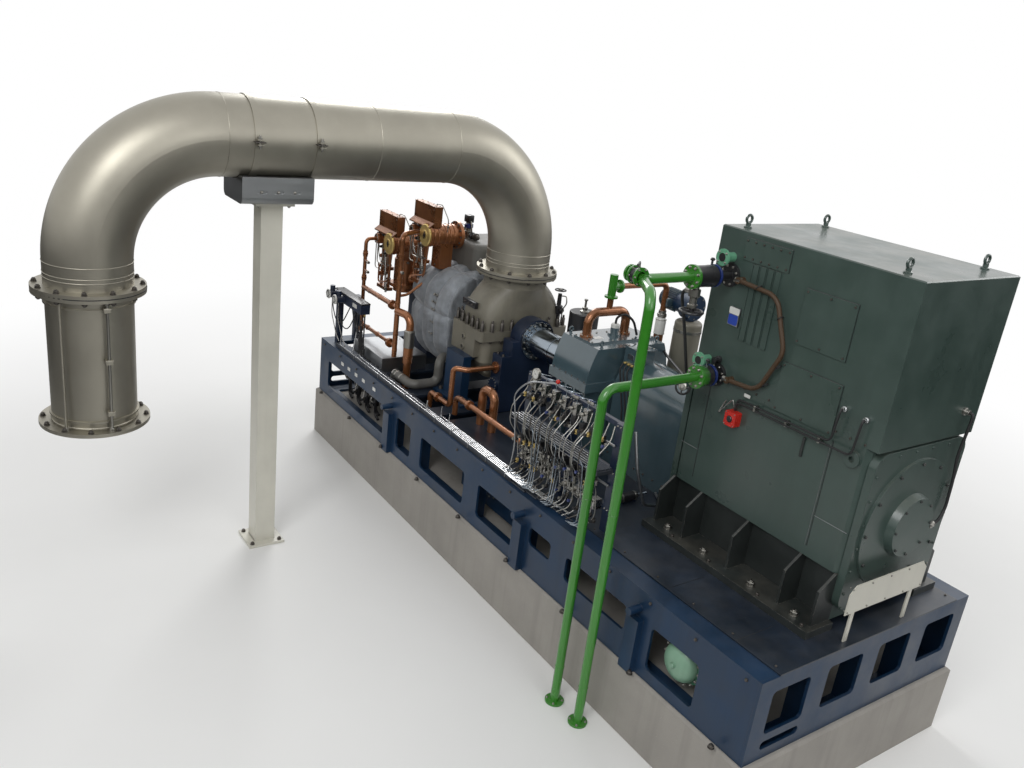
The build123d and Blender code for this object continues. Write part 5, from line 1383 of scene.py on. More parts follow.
    def filter(self, kit):
        """The white filter behind the gearbox, and the black hoses that reach it."""
        at = local((0.23, 0.755, 2.45))
        bowl = [(0, 0.04), (0.015, 0.055), (0.16, 0.055), (0.175, 0.045), (0.19, 0.04)]
        turned(kit["dial_white"], at(0, 0, 0), up, bowl, 28)
        for z in (0.015, 0.165):
            hoop(kit["bright_bolt"], at(0, 0, z), up, 0.055, 0.004, 32, 6)
        union(kit["bright_bolt"], at(0, 0, 0.21), up, 0.05)
        union(kit["black_enamel"], at(0, 0, -0.05), up, 0.05)
        over_guard = [(0.62, 0.5, 2.394), (1.2, 0.2, 2.394), (1.62, 0, 2.4)]
        past_shield = [(1.775, -0.39, 2.62), (1.79, -0.55, 3.1), (1.81, -0.68, 3.4), (1.855, -0.68, 3.443)]
        start = [at(0.04, -0.02, -0.05), at(0.15, -0.08, -0.07)]
        tube(kit["black_rubber"], start + over_guard + past_shield, 0.013, 0.12, 10)
        down_gear = [(0.05, 0.68, 2.22), (-0.04, 0.68, 1.9), (-0.04, 0.68, 1.45)]
        start = [at(0, -0.05, -0.04), at(0, -0.11, -0.04)]
        tube(kit["black_rubber"], start + down_gear, 0.013, 0.06, 10)

    def extractor(self, kit):
        """Cooling fins, end screws and terminal box of the extractor's motor."""
        low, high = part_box("extractor_motor")
        at = local((low.x, (low.y + high.y) / 2, high.z - 0.135))
        for degrees in range(-150, 151, 12):
            turn = math.radians(degrees)
            out = Vector((0, math.sin(turn), math.cos(turn)))
            side = out.cross(ahead_way) * 0.004
            foot, tip = (at(0.03, 0, 0) + out * reach for reach in (0.088, 0.116))
            fin = (foot, tip, tip + side, foot + side)
            skin(kit["gear_teal"], [[point + ahead_way * step for point in fin] for step in (0, 0.19)])
        end = at(high.x - low.x - 0.004, 0, 0)
        each(cap_screw, kit["bright_bolt"], ring_of(8, end, ahead_way, 0.115), ahead_way, 0.008)
        slab(kit["gear_teal"], at(0.1, -0.17, -0.05), at(0.2, -0.09, 0.04), 0.008)

    def pipes(self, kit):
        """Flange nuts of the vent arch, the straps of the vapour pot and the accumulator, and its fitting."""
        low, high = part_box("vent_arch")
        x = (low.x + high.x) / 2
        for y in (low.y + 0.065, 0.268):
            each(nut, kit["bright_bolt"], ring_of(6, (x, y, low.z + 0.016), up, 0.052), up, 0.009)
            union(kit["gear_teal"], (x, y, low.z + 0.07), up, 0.045)
        straps = (("vapour_pot", (2.14, 2.56), 0.14, 0.03), ("accumulator", (1.6, 2.05), 0.16, 0.04))
        for node, heights, radius, width in straps:
            middle = middle_of(node)
            for z in heights:
                band(kit["bright_bolt"], (middle.x, middle.y, z), up, radius, width, 0.004, 48)
        top = Vector((*middle_of("accumulator").xy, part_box("accumulator")[1].z - 0.01))
        fitting = [(0, 0.05), (0.02, 0.05), (0.03, 0.03), (0.06, 0.03), (0.065, 0.012), (0.13, 0.012)]
        turned(kit["bright_bolt"], top, up, fitting + [(0.135, 0.02), (0.15, 0.02)], 20)

    def pedestal(self, kit):
        """Bolts of the rear bearing pedestal's cap, joint and round covers."""
        low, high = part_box("rear_pedestal")
        middle = (low.x + high.x) / 2
        cover = ring_of(12, (middle, low.y, 1.61), near_way, 0.066)
        each(cap_screw, kit["bright_bolt"], cover, near_way, 0.007)
        joint = grid((middle - 0.05, middle + 0.05), (-0.39, 0.39), 1.94)
        each(nut, kit["dark_bolt"], joint, up, 0.018)
        radius = 0.205
        for degrees in range(-70, 71, 20):
            turn = math.radians(degrees)
            for x, way in ((low.x, back_way), (high.x, ahead_way)):
                place = (x, radius * math.sin(turn), shaft_z + radius * math.cos(turn))
                cap_screw(kit["bright_bolt"], place, way, 0.009)


class TURBINE_OT_rack(bpy.types.Operator):
    """Gauges, lever valves, unions and impulse tubes of the instrument rack"""

    bl_idname = "turbine.rack"
    bl_label = "Instrument Rack"

    bore = 0.0055

    def execute(self, context):
        kit = Kit("rack")
        low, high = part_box("instrument_rack")
        front = low.y
        self.gauges(kit, front)
        self.valves(kit, front)
        self.comb(kit)
        self.impulse_tubes(kit, front)
        self.units(kit, front)
        self.deck_hardware(kit, front)
        posts = (low.x + 0.04, 1.085, high.x - 0.04)
        clips = [x + side for x in posts for side in (-0.018, 0.018)]
        each(nut, kit["bright_bolt"], grid(clips, front, (1.52, 1.86, 2.27)), near_way, 0.008)
        feet = grid([x + 0.055 for x in posts], (front + 0.015, front + 0.065), low.z)
        each(nut, kit["dark_bolt"], feet, up, 0.012)
        return kit.close()

    def gauges(self, kit, front):
        """Round pressure gauges on short necks."""
        places = ((0.588, 2.327, 0.05, 2.25), (0.806, 1.716, 0.042, 1.62), (0.70, 1.71, 0.036, 1.62))
        for x, z, radius, foot in places:
            centre = Vector((x, front - 0.02, z))
            gauge(kit["bright_bolt"], kit["dial_white"], kit["black_enamel"], centre, near_way, radius)
            neck = Vector((x, front - 0.015, foot))
            rod(kit["bright_bolt"], neck, centre - up * radius * 0.8, 0.008, 8)
            union(kit["bright_bolt"], neck + up * 0.02, up, 0.013)

    def valves(self, kit, front):
        """Lever valves over the valve blocks, their tubes, and blue handles."""
        bright, blue = kit["bright_bolt"], kit["valve_blue"]
        for x in evenly(0.55, 0.97, 5):
            at = local((x, front, 0))
            self.block_front(kit, at(0, -0.07, 1.52), 0.024)
            self.block_front(kit, at(0, -0.07, 1.6), 0.02)
            rise = [at(0, -0.05, 1.64), at(0, -0.05, 1.76), at(0.03, -0.02, 1.86), at(0.03, 0, 1.89)]
            self.thin_tube(kit, rise, 0.02)
            fall = [at(0, -0.04, 1.48), at(0, -0.04, 1.4), at(0, -0.16, 1.36), at(-0.1, -0.2, 1.352)]
            self.thin_tube(kit, fall)
        for x in evenly(1.21, 1.555, 4):
            at = local((x, front, 0))
            self.block_front(kit, at(0, -0.07, 1.53), 0.026)
            lever_valve(bright, blue, at(0, -0.05, 1.62), up, near_way, 0.02)
            self.thin_tube(kit, [at(0, -0.05, 1.66), at(0, -0.05, 1.8), at(0.02, -0.01, 1.89)])
            self.thin_tube(kit, [at(0, -0.04, 1.49), at(0, -0.04, 1.4), at(0, -0.17, 1.36)])
        for x in evenly(0.54, 1.29, 6):
            at = local((x, front, 0))
            self.block_front(kit, at(0, -0.055, 2.215), 0.02)
            self.thin_tube(kit, [at(0, -0.03, 2.16), at(0, -0.03, 2.02), at(0.02, -0.01, 1.91)])
            over = [at(0.03, -0.02, 2.27), at(0.03, -0.02, 2.33), at(0.09, 0, 2.33), at(0.09, 0.1, 2.3)]
            self.thin_tube(kit, over, 0.025)
        for x, z in ((1.351, 1.751), (1.148, 1.764), (1.362, 2.345), (1.163, 2.322)):
            lever_valve(bright, blue, (x, front - 0.035, z), ahead_way, (0, -0.4, 1), 0.024)
        stop = (0.776, front - 0.06, 1.558)
        lever_valve(kit["polished_steel"], kit["black_enamel"], stop, ahead_way, near_way, 0.03)
        button = [(0, 0.02), (0.018, 0.018), (0.024, 0.012)]
        turned(kit["signal_red"], (0.889, front - 0.02, 2.359), near_way, button)

    def thin_tube(self, kit, points, bend=0.03):
        """A bright tube of the rack's small bore."""
        tube(kit["polished_steel"], points, self.bore, bend)

    def block_front(self, kit, place, size):
        """The round bonnet and bar handle on the front of a valve block."""
        bonnet = [(-0.01, size), (0.006, size), (0.01, size * 0.6), (0.03, size * 0.6)]
        turned(kit["bright_bolt"], place, near_way, bonnet, 14)
        bar(kit["black_enamel"], place + Vector((-size, -0.032, 0)), ahead_way, size * 2, size * 0.24, 8)

    def comb(self, kit):
        """Clip bars over the comb of tubes, and the tubes that drop from it to the tray."""
        low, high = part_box("rack_tubes")
        for z in (low.z + 0.012, high.z - 0.002):
            start, end = ((x, low.y + 0.004, z) for x in ends(low.x, high.x, 0.03))
            rod(kit["aluminium_sheet"], start, end, 0.004, 6)
        for share in (0.12, 0.3, 0.48, 0.66, 0.84):
            y = low.y + share * (high.y - low.y)
            start, end = ((x, y, high.z + 0.004) for x in (low.x + 0.04 * share, high.x - 0.3 * share))
            rod(kit["bright_steel"], start, end, 0.0042, 8)
        middle = (low.z + high.z) / 2 + 0.014
        screws = grid(evenly(low.x + 0.04, high.x - 0.04, 7), (low.y + 0.02, high.y - 0.03), middle)
        each(cap_screw, kit["bright_bolt"], screws, up, 0.007)
        for x, spread in ((0.849, 0.05), (1.192, 0.02), (1.561, 0.06)):
            for step in range(3):
                at = local((x + 0.031 * step - 0.02, low.y, 0))
                deep = 0.02 * step
                leaving = [at(-0.08, deep + 0.01, 1.9), at(0, deep - 0.004, 1.89)]
                drop = [at(spread, -0.015, 1.55), at(spread, -0.03, 1.37), at(-0.06, -0.04, 1.335)]
                tube(kit["polished_steel"], leaving + drop, 0.005, 0.04)

    def impulse_tubes(self, kit, front):
        """Fine tubes that wind between the rails in front of the comb, with small needle valves on them."""
        chance = random.Random(7)
        valve_finishes = (("dark_bolt", "black_enamel"), ("brass", "black_enamel"),
                          ("bright_bolt", "valve_blue"), ("black_enamel", "bright_bolt"))
        knob_profile = [(0.012, 0.008), (0.03, 0.008), (0.032, 0.016), (0.044, 0.014)]
        for step in range(17):
            at = local((0.5 + 0.073 * step, front, 0))
            lean = [chance.uniform(-sway, sway) for sway in [0.03] * 4]
            out = chance.uniform(0.17, 0.21)
            upper = [at(0, -0.01, 2.26), at(lean[0], -0.06, 2.14), at(lean[1], -out, 2)]
            middle = [at(lean[1], -out, 1.84), at(lean[2], -0.1, 1.7), at(lean[2], -0.07, 1.46)]
            lower = [at(lean[3], -0.1, 1.38), at(lean[3] - 0.04, -0.2, 1.34)]
            steel = kit[chance.choice(("tube_steel", "bright_bolt", "dark_bolt"))]
            tube(steel, upper + middle + lower, self.bore, 0.045, 7)
            for rise, reach in ((2.1, 0.08), (1.72, 0.115), (1.45, 0.075)):
                place = at(lean[2], -reach, rise + chance.uniform(-0.05, 0.05))
                body, knob = chance.choice(valve_finishes)
                union(kit[body], place, up, 0.019)
                turned(kit[knob], place, near_way, knob_profile, 10)

    def units(self, kit, front):
        """Small black units with a bright screw, the two rails behind them, and the grey conduit."""
        black = kit["black_enamel"]
        for step in range(9):
            at = local((0.56 + 0.12 * step, front, 0))
            slab(black, at(0, -0.1, 1.66 + 0.02 * (step % 3)), at(0.055, -0.02, 1.78), 0.005)
            slab(black, at(0.02, -0.07, 2.07), at(0.07, -0.01, 2.15 + 0.015 * (step % 2)), 0.005)
            cap_screw(kit["bright_bolt"], at(0.028, -0.1, 1.72), near_way, 0.008)
        for z in (1.74, 2.1):
            bar(kit["aluminium_sheet"], (0.46, front - 0.015, z), ahead_way, 1.25, 0.011, 8)
        at = local((0, front, 0))
        upper = [at(0.889, -0.03, 2.34), at(0.62, -0.14, 2.28), at(0.5, -0.2, 2.12)]
        lower = [at(0.55, -0.2, 2), at(0.56, -0.16, 1.62), at(0.52, -0.16, 1.36)]
        tube(kit["aluminium_sheet"], upper + lower, 0.008, 0.09, 8)

    def deck_hardware(self, kit, front):
        """The dark damper with its bright rod on the deck, the grey conduit and the hose by the rack."""
        at = local((1.37, -0.53, 1.36))
        damper = [(0, 0.03), (0.012, 0.042), (0.2, 0.042), (0.21, 0.03), (0.22, 0.03)]
        turned(kit["black_enamel"], at(0, 0, 0), far_way, damper, 20)
        bar(kit["polished_steel"], at(0, 0.2, 0), far_way, 0.14, 0.012)
        for y in (0.03, 0.18):
            band(kit["bright_bolt"], at(0, y, 0), far_way, 0.042, 0.018, 0.003, 28)
            block(kit["pedestal_blue"], at(0, y, -0.04), (0.06, 0.024, 0.02))
        conduit = [(1.661, -0.75, 2.17), (1.744, -0.75, 1.89), (1.744, -0.6, 1.5), (1.6, -0.2, 1.335)]
        tube(kit["aluminium_sheet"], conduit + [(1.37, -0.07, 1.33)], 0.014, 0.08, 10)
        hose = sagging((0.46, front + 0.04, 1.95), (0.46, -0.62, 1.55), 0.12)
        tube(kit["black_rubber"], hose + [(0.46, -0.45, 1.5)], 0.012, 0.04, 8)


class TURBINE_OT_generator_details(bpy.types.Operator):
    """Hatch screws, shield bolts, seams, glands, labels and open flanges of the generator"""

    bl_idname = "turbine.generator_details"
    bl_label = "Generator Details"

    def execute(self, context):
        kit = Kit("generator_details")
        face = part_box("hatch_covers")[0].y
        self.hatch(kit, face, (2.685, 3.125), (3.255, 3.665), 3)
        self.hatch(kit, face, (2.63, 3.16), (2.715, 3.095), 3)
        self.hatch(kit, face, (2.06, 2.5), (3.72, 3.89), 6)
        self.shield(kit)
        self.seams(kit)
        self.cooler(kit)
        self.slots_with_painted_shade(kit)
        self.vents(kit)
        self.cables(kit)
        self.call_box(kit)
        self.end_cable(kit)
        self.feet(kit)
        self.board(kit)
        return kit.close()

    def hatch(self, kit, face, width, height, count):
        """Screws along a cover's upper and lower edge, and a fine dark joint round it."""
        inset = 0.022
        screws = grid(evenly(*ends(*width, inset), count), face, ends(*height, inset))
        each(cap_screw, kit["dark_bolt"], screws, near_way, 0.0085)
        joint = face + 0.0095
        for z in height:
            rod(kit["black_enamel"], *((x, joint, z) for x in width), 0.003, 6)
        for x in width:
            rod(kit["black_enamel"], *((x, joint, z) for z in height), 0.003, 6)

    def shield(self, kit):
        """Bolts round the end shields and the outer bearing's covers."""
        rim = 0.06
        for node, way in (("outer_end_shield", ahead_way), ("drive_end_shield", back_way)):
            low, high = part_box(node)
            face = low.x + rim if way == ahead_way else low.x
            top = high.z - 0.035
            places = grid(face, evenly(low.y + 0.05, high.y - 0.05, 6), (low.z + 0.035, top))
            places += grid(face, ends(low.y, high.y, 0.035), evenly(low.z + 0.16, top - 0.13, 6))
            each(cap_screw, kit["generator_grey"], places, way, 0.01)
        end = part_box("outer_end_shield")[1].x
        for count, x, radius, size in ((12, end - rim, 0.485, 0.013), (8, end, 0.215, 0.011)):
            places = ring_of(count, (x, generator_y, shaft_z), ahead_way, radius)
            each(cap_screw, kit["feet_grey"], places, ahead_way, size)

    def seams(self, kit):
        """Fine seams, bright beads as painted highlights along the housing's side, and the small label on it.
        """
        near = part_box("generator_housing")[0].y + 0.0245
        for x in (2.0, 3.19):
            bar(kit["black_enamel"], (x, near + 0.0005, 1.85), up, 0.84, 0.0035, 6)
        # Thin bright bars here and below: painted highlights along the panel edges.
        bar(kit["aluminium_sheet"], (3.175, near, 1.85), up, 0.81, 0.0025, 6)
        for x, reach in ((1.81, 0.19), (3.19, 0.28)):
            bar(kit["aluminium_sheet"], (x, near, 2.1), ahead_way, reach, 0.0025, 6)
        bar(kit["feet_grey"], (2.96, near - 0.006, 2.47), up, 0.15, 0.012)
        plate(kit["dial_white"], (2.385, near - 0.012, 2.725), near_way, 0.06, 0.026, 0.003)

    def cooler(self, kit):
        """Screws of the cooler's joint, the label holder, the round gland and the lifting eyes."""
        low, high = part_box("cooler_housing")
        housing_low, housing_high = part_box("generator_housing")
        face = low.y + 0.012
        joint = grid(evenly(housing_low.x + 0.05, housing_high.x - 0.05, 14), face, low.z + 0.02)
        each(cap_screw, kit["dark_bolt"], joint, near_way, 0.009)
        at = local((2.1, face, 3.28))
        slab(kit["aluminium_sheet"], at(-0.052, -0.022, -0.075), at(0.052, 0.002, 0.07), 0.003)
        plate(kit["dial_white"], at(0, -0.022, 0.042), near_way, 0.1, 0.052)
        plate(kit["label_blue"], at(0, -0.022, -0.028), near_way, 0.092, 0.08)
        gland = [(0, 0.03), (0.02, 0.03), (0.024, 0.018), (0.05, 0.018), (0.052, 0.026), (0.064, 0.026)]
        turned(kit["black_enamel"], (2.03, face, 2.9), near_way, gland)
        eyes = grid(ends(housing_low.x, housing_high.x, 0.15), (low.y + 0.12, high.y - 0.1), high.z - 0.002)
        for eye in eyes:
            foot = [(0, 0.032), (0.012, 0.032), (0.018, 0.02), (0.04, 0.02)]
            turned(kit["generator_grey"], eye, up, foot)
            hoop(kit["generator_grey"], eye + up * 0.07, ahead_way, 0.03, 0.011, 24, 8)

    def slots_with_painted_shade(self, kit):
        """Black plates as painted shade in the slots of the cooler's side, with a raised bead at each side of
        a slot.
        """
        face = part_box("cooler_housing")[0].y + 0.012
        for x in evenly(2.185, 2.395, 4):
            # A black plate in the slot: painted shade.
            plate(kit["black_enamel"], (x + 0.006, face + 0.001, 3.412), near_way, 0.032, 0.6, 0.0015)
            for side in (-0.016, 0.028):
                bar(kit["generator_grey"], (x + side, face - 0.001, 3.115), up, 0.595, 0.005, 6)

    def vents(self, kit):
        """Black discs as painted shade in the bores, flange bolts and pale rings of the two open vents."""
        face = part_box("vent_flanges")[0].y
        for x, z in ((1.96, 3.712), (1.922, 2.868)):
            mouth = Vector((x, face, z))
            # A black disc closes the bore: painted shade inside the open vent.
            turned(kit["black_enamel"], mouth, near_way, [(-0.004, 0.034), (0.0015, 0.034)], 24)
            hoop(kit["jade_green"], mouth + far_way * 0.001, near_way, 0.036, 0.004, 28, 6)
            each(nut, kit["bright_bolt"], ring_of(4, mouth, near_way, 0.05, 0.785), near_way, 0.0085)

    def cables(self, kit):
        """Glands on the cooler's side, the black cables that leave them, and the clips under these."""
        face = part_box("cooler_housing")[0].y + 0.012
        gland = [(0, 0.02), (0.022, 0.02), (0.024, 0.015), (0.045, 0.015)]
        for x, z, drop in ((3.22, 2.95, 0.02), (3.40, 2.94, 0.05)):
            turned(kit["bright_steel"], (x, face, z), near_way, gland, 8)
            leaving = [(x, face - 0.035, z), (x, face - 0.06, z), (x - 0.02, face - 0.06, 2.72 - drop)]
            along = [(2.32, face - 0.035, 2.7 - drop), (2.31, face - 0.03, 2.58)]
            tube(kit["black_rubber"], leaving + along, 0.0085, 0.05, 8)
        for place in grid((2.5, 2.8, 3.1), face - 0.027, 2.6685):
            block(kit["bright_bolt"], place, (0.02, 0.046, 0.047))

    def call_box(self, kit):
        """Button, ring and corner screws of the call box."""
        low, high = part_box("call_box")
        middle = middle_of("call_box")
        button = Vector((middle.x, low.y, middle.z))
        turned(kit["black_enamel"], button, near_way, [(0, 0.026), (0.006, 0.026), (0.012, 0.02)], 20)
        hoop(kit["signal_red"], button, near_way, 0.032, 0.004, 28, 6)
        plate_screws(kit["bright_bolt"], low, (high.x, low.y, high.z), near_way, 0.005, 0.012)

    def end_cable(self, kit):
        """The black cable from the gland in the cooler's end to the union at the outer end shield."""
        gland = Vector((3.54, 0.6, 2.94))
        profile = [(0, 0.03), (0.014, 0.03), (0.018, 0.022), (0.045, 0.02)]
        turned(kit["bright_bolt"], gland, ahead_way, profile, 12)
        end = (3.597, 0.5, 2.06)
        leaving = [gland + ahead_way * reach for reach in (0.04, 0.075)]
        fall = [(3.605, 0.6, 2.8), (3.592, 0.6, 2.604), (3.592, 0.645, 2.4), (3.595, 0.655, 2.16)]
        tube(kit["black_rubber"], leaving + fall + [(3.597, 0.6, 2.06), end], 0.012, 0.05)
        union(kit["bright_bolt"], end, near_way, 0.03)

    def feet(self, kit):
        """Holding-down and jacking bolts along both rows of feet."""
        near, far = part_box("near_feet"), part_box("far_feet")
        for edge, inward in ((near[0].y, 1), (far[1].y, -1)):
            at = local((0, edge, near[0].z + 0.06))
            places = (1.97, 2.39, 2.9, 3.32)
            each(nut, kit["bright_bolt"], [at(x, inward * 0.1, 0) for x in places], up, 0.034)
            each(nut, kit["dark_bolt"], [at(x + 0.12, inward * 0.04, 0) for x in places], up, 0.016)

    def board(self, kit):
        """Screws of the blank board at the end of the deck."""
        low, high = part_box("end_board")
        for x, way in ((high.x, ahead_way), (low.x, back_way)):
            places = grid(x, evenly(low.y + 0.02, high.y - 0.02, 5), (1.585, high.z - 0.02))
            each(cap_screw, kit["bright_bolt"], places, way, 0.007)


class TURBINE_OT_riser_fittings(bpy.types.Operator):
    """Flange bolts, drain valves, collars and hose ties of the two water risers"""

    bl_idname = "turbine.riser_fittings"
    bl_label = "Riser Fittings"

    def execute(self, context):
        kit = Kit("riser_fittings")
        self.nozzle(kit, "return_nozzle")
        self.nozzle(kit, "supply_nozzle")
        for x, y in ((2.33, -1.5), (2.04, -1.52)):
            for z in (0.35, 1.9):
                hoop(kit["pipe_green"], (x, y, z), up, 0.0385, 0.0025, 24, 5)
            turned(kit["pipe_green"], (x, y, 0), up, [(0, 0.08), (0.016, 0.08), (0.018, 0.04)], 28)
            each(nut, kit["bright_bolt"], ring_of(4, (x, y, 0.016), up, 0.064, 0.785), up, 0.01)
        self.stub(kit)
        self.hose(kit)
        self.drain(kit)
        return kit.close()

    def nozzle(self, kit, node):
        """Bolts through the flanges, and the valve's rings and stem."""
        low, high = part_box(node)
        centre = middle_of(node)
        for y in (low.y, high.y - 0.02):
            places = ring_of(8, (centre.x, y, centre.z), near_way, 0.07215, 0.39)
            each(nut, kit["bright_bolt"], places, near_way, 0.012)
        at = local((centre.x, low.y + (high.y - low.y) * 0.45, centre.z))
        band(kit["black_enamel"], at(0, 0, 0), far_way, 0.072, 0.05, 0.012, 40)
        band(kit["valve_blue"], at(0, 0.045, 0), far_way, 0.074, 0.018, 0.014, 40)
        bar(kit["polished_steel"], at(0, 0, 0.07), up, 0.06, 0.009)
        turned(kit["black_enamel"], at(0, 0, 0.12), up, [(0, 0.016), (0.01, 0.02), (0.02, 0.012)], 14)

    def stub(self, kit):
        """The closed end of the return riser's stub, with its dark valve."""
        base = Vector((2.0, -1.3, 3.594))
        end = Vector((1.855, -1.289, 3.594))
        way = (end - base).normalized()
        valve = base.lerp(end, 0.35)
        band(kit["black_enamel"], valve, way, 0.038, 0.06, 0.02, 28)
        for share in (0.1, 0.6):
            flange = base.lerp(end, share)
            band(kit["pipe_green"], flange, way, 0.038, 0.012, 0.032, 28)
            each(nut, kit["bright_bolt"], ring_of(6, flange - way * 0.006, -way, 0.058), -way, 0.008)
        bar(kit["bright_bolt"], valve, up, 0.1, 0.009)
        at = local(valve)
        tube(kit["black_enamel"], [at(0, 0, 0.1), at(0.03, -0.03, 0.105), at(0.11, -0.12, 0.11)], 0.008, 0.02)

    def hose(self, kit):
        """Ties and end ferrules of the hose, the red fitting and the handwheel under its lower end."""
        y = -0.395
        for x, z in ((2.3, 3.565), (2.55, 3.4), (2.63, 3.05), (2.55, 2.88)):
            hoop(kit["black_rubber"], (x, y, z), (0.7, 0, -0.7), 0.024, 0.004, 20, 6)
        for x, z in ((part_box("vent_hose")[0].x - 0.012, 3.565), (2.14, 2.79)):
            bar(kit["bright_bolt"], (x, y, z), ahead_way, 0.06, 0.024, 14)
        at = local((1.985, -0.43, 2.735))
        fitting = [(0, 0.018), (0.02, 0.024), (0.05, 0.024), (0.06, 0.014)]
        turned(kit["signal_red"], at(0, 0, 0), near_way, fitting)
        rod(kit["bright_bolt"], at(0.03, 0, 0), at(0.1, -0.01, -0.01), 0.014)
        wheel = (1.89, -0.55, 2.64)
        handwheel(kit["black_enamel"], kit["bright_bolt"], wheel, (0.35, -1, 0.3), 0.062, 0.009)
        boss = [(-0.06, 0.02), (0, 0.035), (0.008, 0.035), (0.012, 0.02)]
        turned(kit["bright_bolt"], wheel, (0.05, -0.15, 0.05), boss)
        loop = [(2.2, -0.37, 2.62), (2.16, -0.39, 2.5), (2.28, -0.39, 2.66), (2.3, -0.37, 2.58)]
        tube(kit["tube_steel"], loop, 0.005, 0.02)

    def drain(self, kit):
        """The bright drain valve under the return nozzle, with its large black handwheel."""
        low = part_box("return_nozzle")[0]
        at = local((middle_of("return_nozzle").x - 0.03, low.y + 0.1, low.z + 0.02))
        body = [(-0.02, 0.03), (0.03, 0.03), (0.035, 0.045), (0.09, 0.045), (0.1, 0.03), (0.15, 0.03)]
        turned(kit["bright_bolt"], at(0, 0, 0), down, body + [(0.155, 0.04), (0.18, 0.04)], 20)
        bar(kit["bright_bolt"], at(-0.02, 0, -0.06), back_way, 0.07, 0.026, 14)
        wheel = at(0, 0, -0.21)
        radius = 0.088
        hoop(kit["black_enamel"], wheel, up, radius, 0.011, 36, 8)
        for spoke in ring_of(5, wheel, up, radius):
            rod(kit["black_enamel"], wheel, spoke, 0.008, 8)
        bar(kit["black_enamel"], at(0, 0, -0.18), down, 0.06, 0.022, 12)


class TURBINE_OT_stand_fittings(bpy.types.Operator):
    """Transmitter faces, glands, cable loops and box lid of the terminal stand"""

    bl_idname = "turbine.stand_fittings"
    bl_label = "Stand Fittings"

    def execute(self, context):
        kit = Kit("stand_fittings")
        for x, z in ((-3.455, 1.955), (-3.265, 1.935)):
            self.transmitter(kit, x, z)
        self.box(kit)
        return kit.close()

    def transmitter(self, kit, x, z):
        """One round transmitter with its gland, and the cable and the tube that leave it."""
        at = local((x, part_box("terminal_stand")[0].y, z))
        rim = [(-0.004, 0.06), (0.008, 0.06), (0.014, 0.052), (0.014, 0.046)]
        turned(kit["dial_white"], at(0, 0, 0), near_way, rim, 32)
        turned(kit["black_enamel"], at(0, -0.008, 0), near_way, [(0, 0.044), (0.007, 0.042)], 28)
        turned(kit["dial_white"], at(0, -0.014, 0), near_way, [(0, 0.03), (0.002, 0.03)], 24)
        screws = ring_of(6, at(0, -0.012, 0), near_way, 0.053)
        each(cap_screw, kit["bright_bolt"], screws, near_way, 0.004)
        gland = [(-0.01, 0.014), (0.02, 0.014), (0.022, 0.01), (0.045, 0.01)]
        turned(kit["bright_bolt"], at(0, 0.05, 0.055), up, gland, 6)
        cable = [at(0, 0.06, -0.06), at(0, 0.06, -0.16), at(0.08, 0.08, -0.34), at(0.24, 0.09, -0.32)]
        tube(kit["black_rubber"], cable + [(x + 0.3, -1.12, 1.88)], 0.007, 0.09)
        drop = [at(-0.02, 0.06, -0.05), at(-0.02, 0.06, -0.26)]
        tube(kit["tube_steel"], drop + [(x - 0.02, -1.16, 1.42), (x + 0.08, -1.16, 1.35)], 0.006, 0.05)

    def box(self, kit):
        """The black lid of the long box, its screws, glands and the cables that leave it."""
        low, high = Vector((-3.515, -1.18, 2.0)), Vector((-2.755, -1.06, 2.012))
        brim = Vector((0.004, 0.004, 0))
        slab(kit["black_enamel"], low - brim - up * 0.006, high + brim, 0.004)
        plate_screws(kit["bright_bolt"], (*low.xy, high.z), high, up, 0.006)
        plate(kit["dial_white"], (-2.93, low.y, 1.945), near_way, 0.12, 0.05)
        foot = 1.88
        for step in range(6):
            x = -3.12 + 0.07 * step
            under = Vector((x, -1.12, foot))
            turned(kit["brass"], under, down, [(0, 0.011), (0.018, 0.011), (0.02, 0.008), (0.028, 0.008)], 6)
            end = (x + 0.3 - 0.04 * step, -1.14, 1.8 - 0.06 * step)
            loop = sagging(under - up * 0.02, end, 0.16 + 0.05 * (step % 3))
            tube(kit["black_rubber"], loop + [(-2.8 + 0.02 * step, -1.16, 1.38)], 0.0065, 0.05, 7)
        for x in (-3.0, -2.8):
            conduit = [(x, -1.1, foot), (x, -1.1, 1.6), (x + 0.05, -1.16, 1.36)]
            tube(kit["aluminium_sheet"], conduit, 0.009, 0.05)


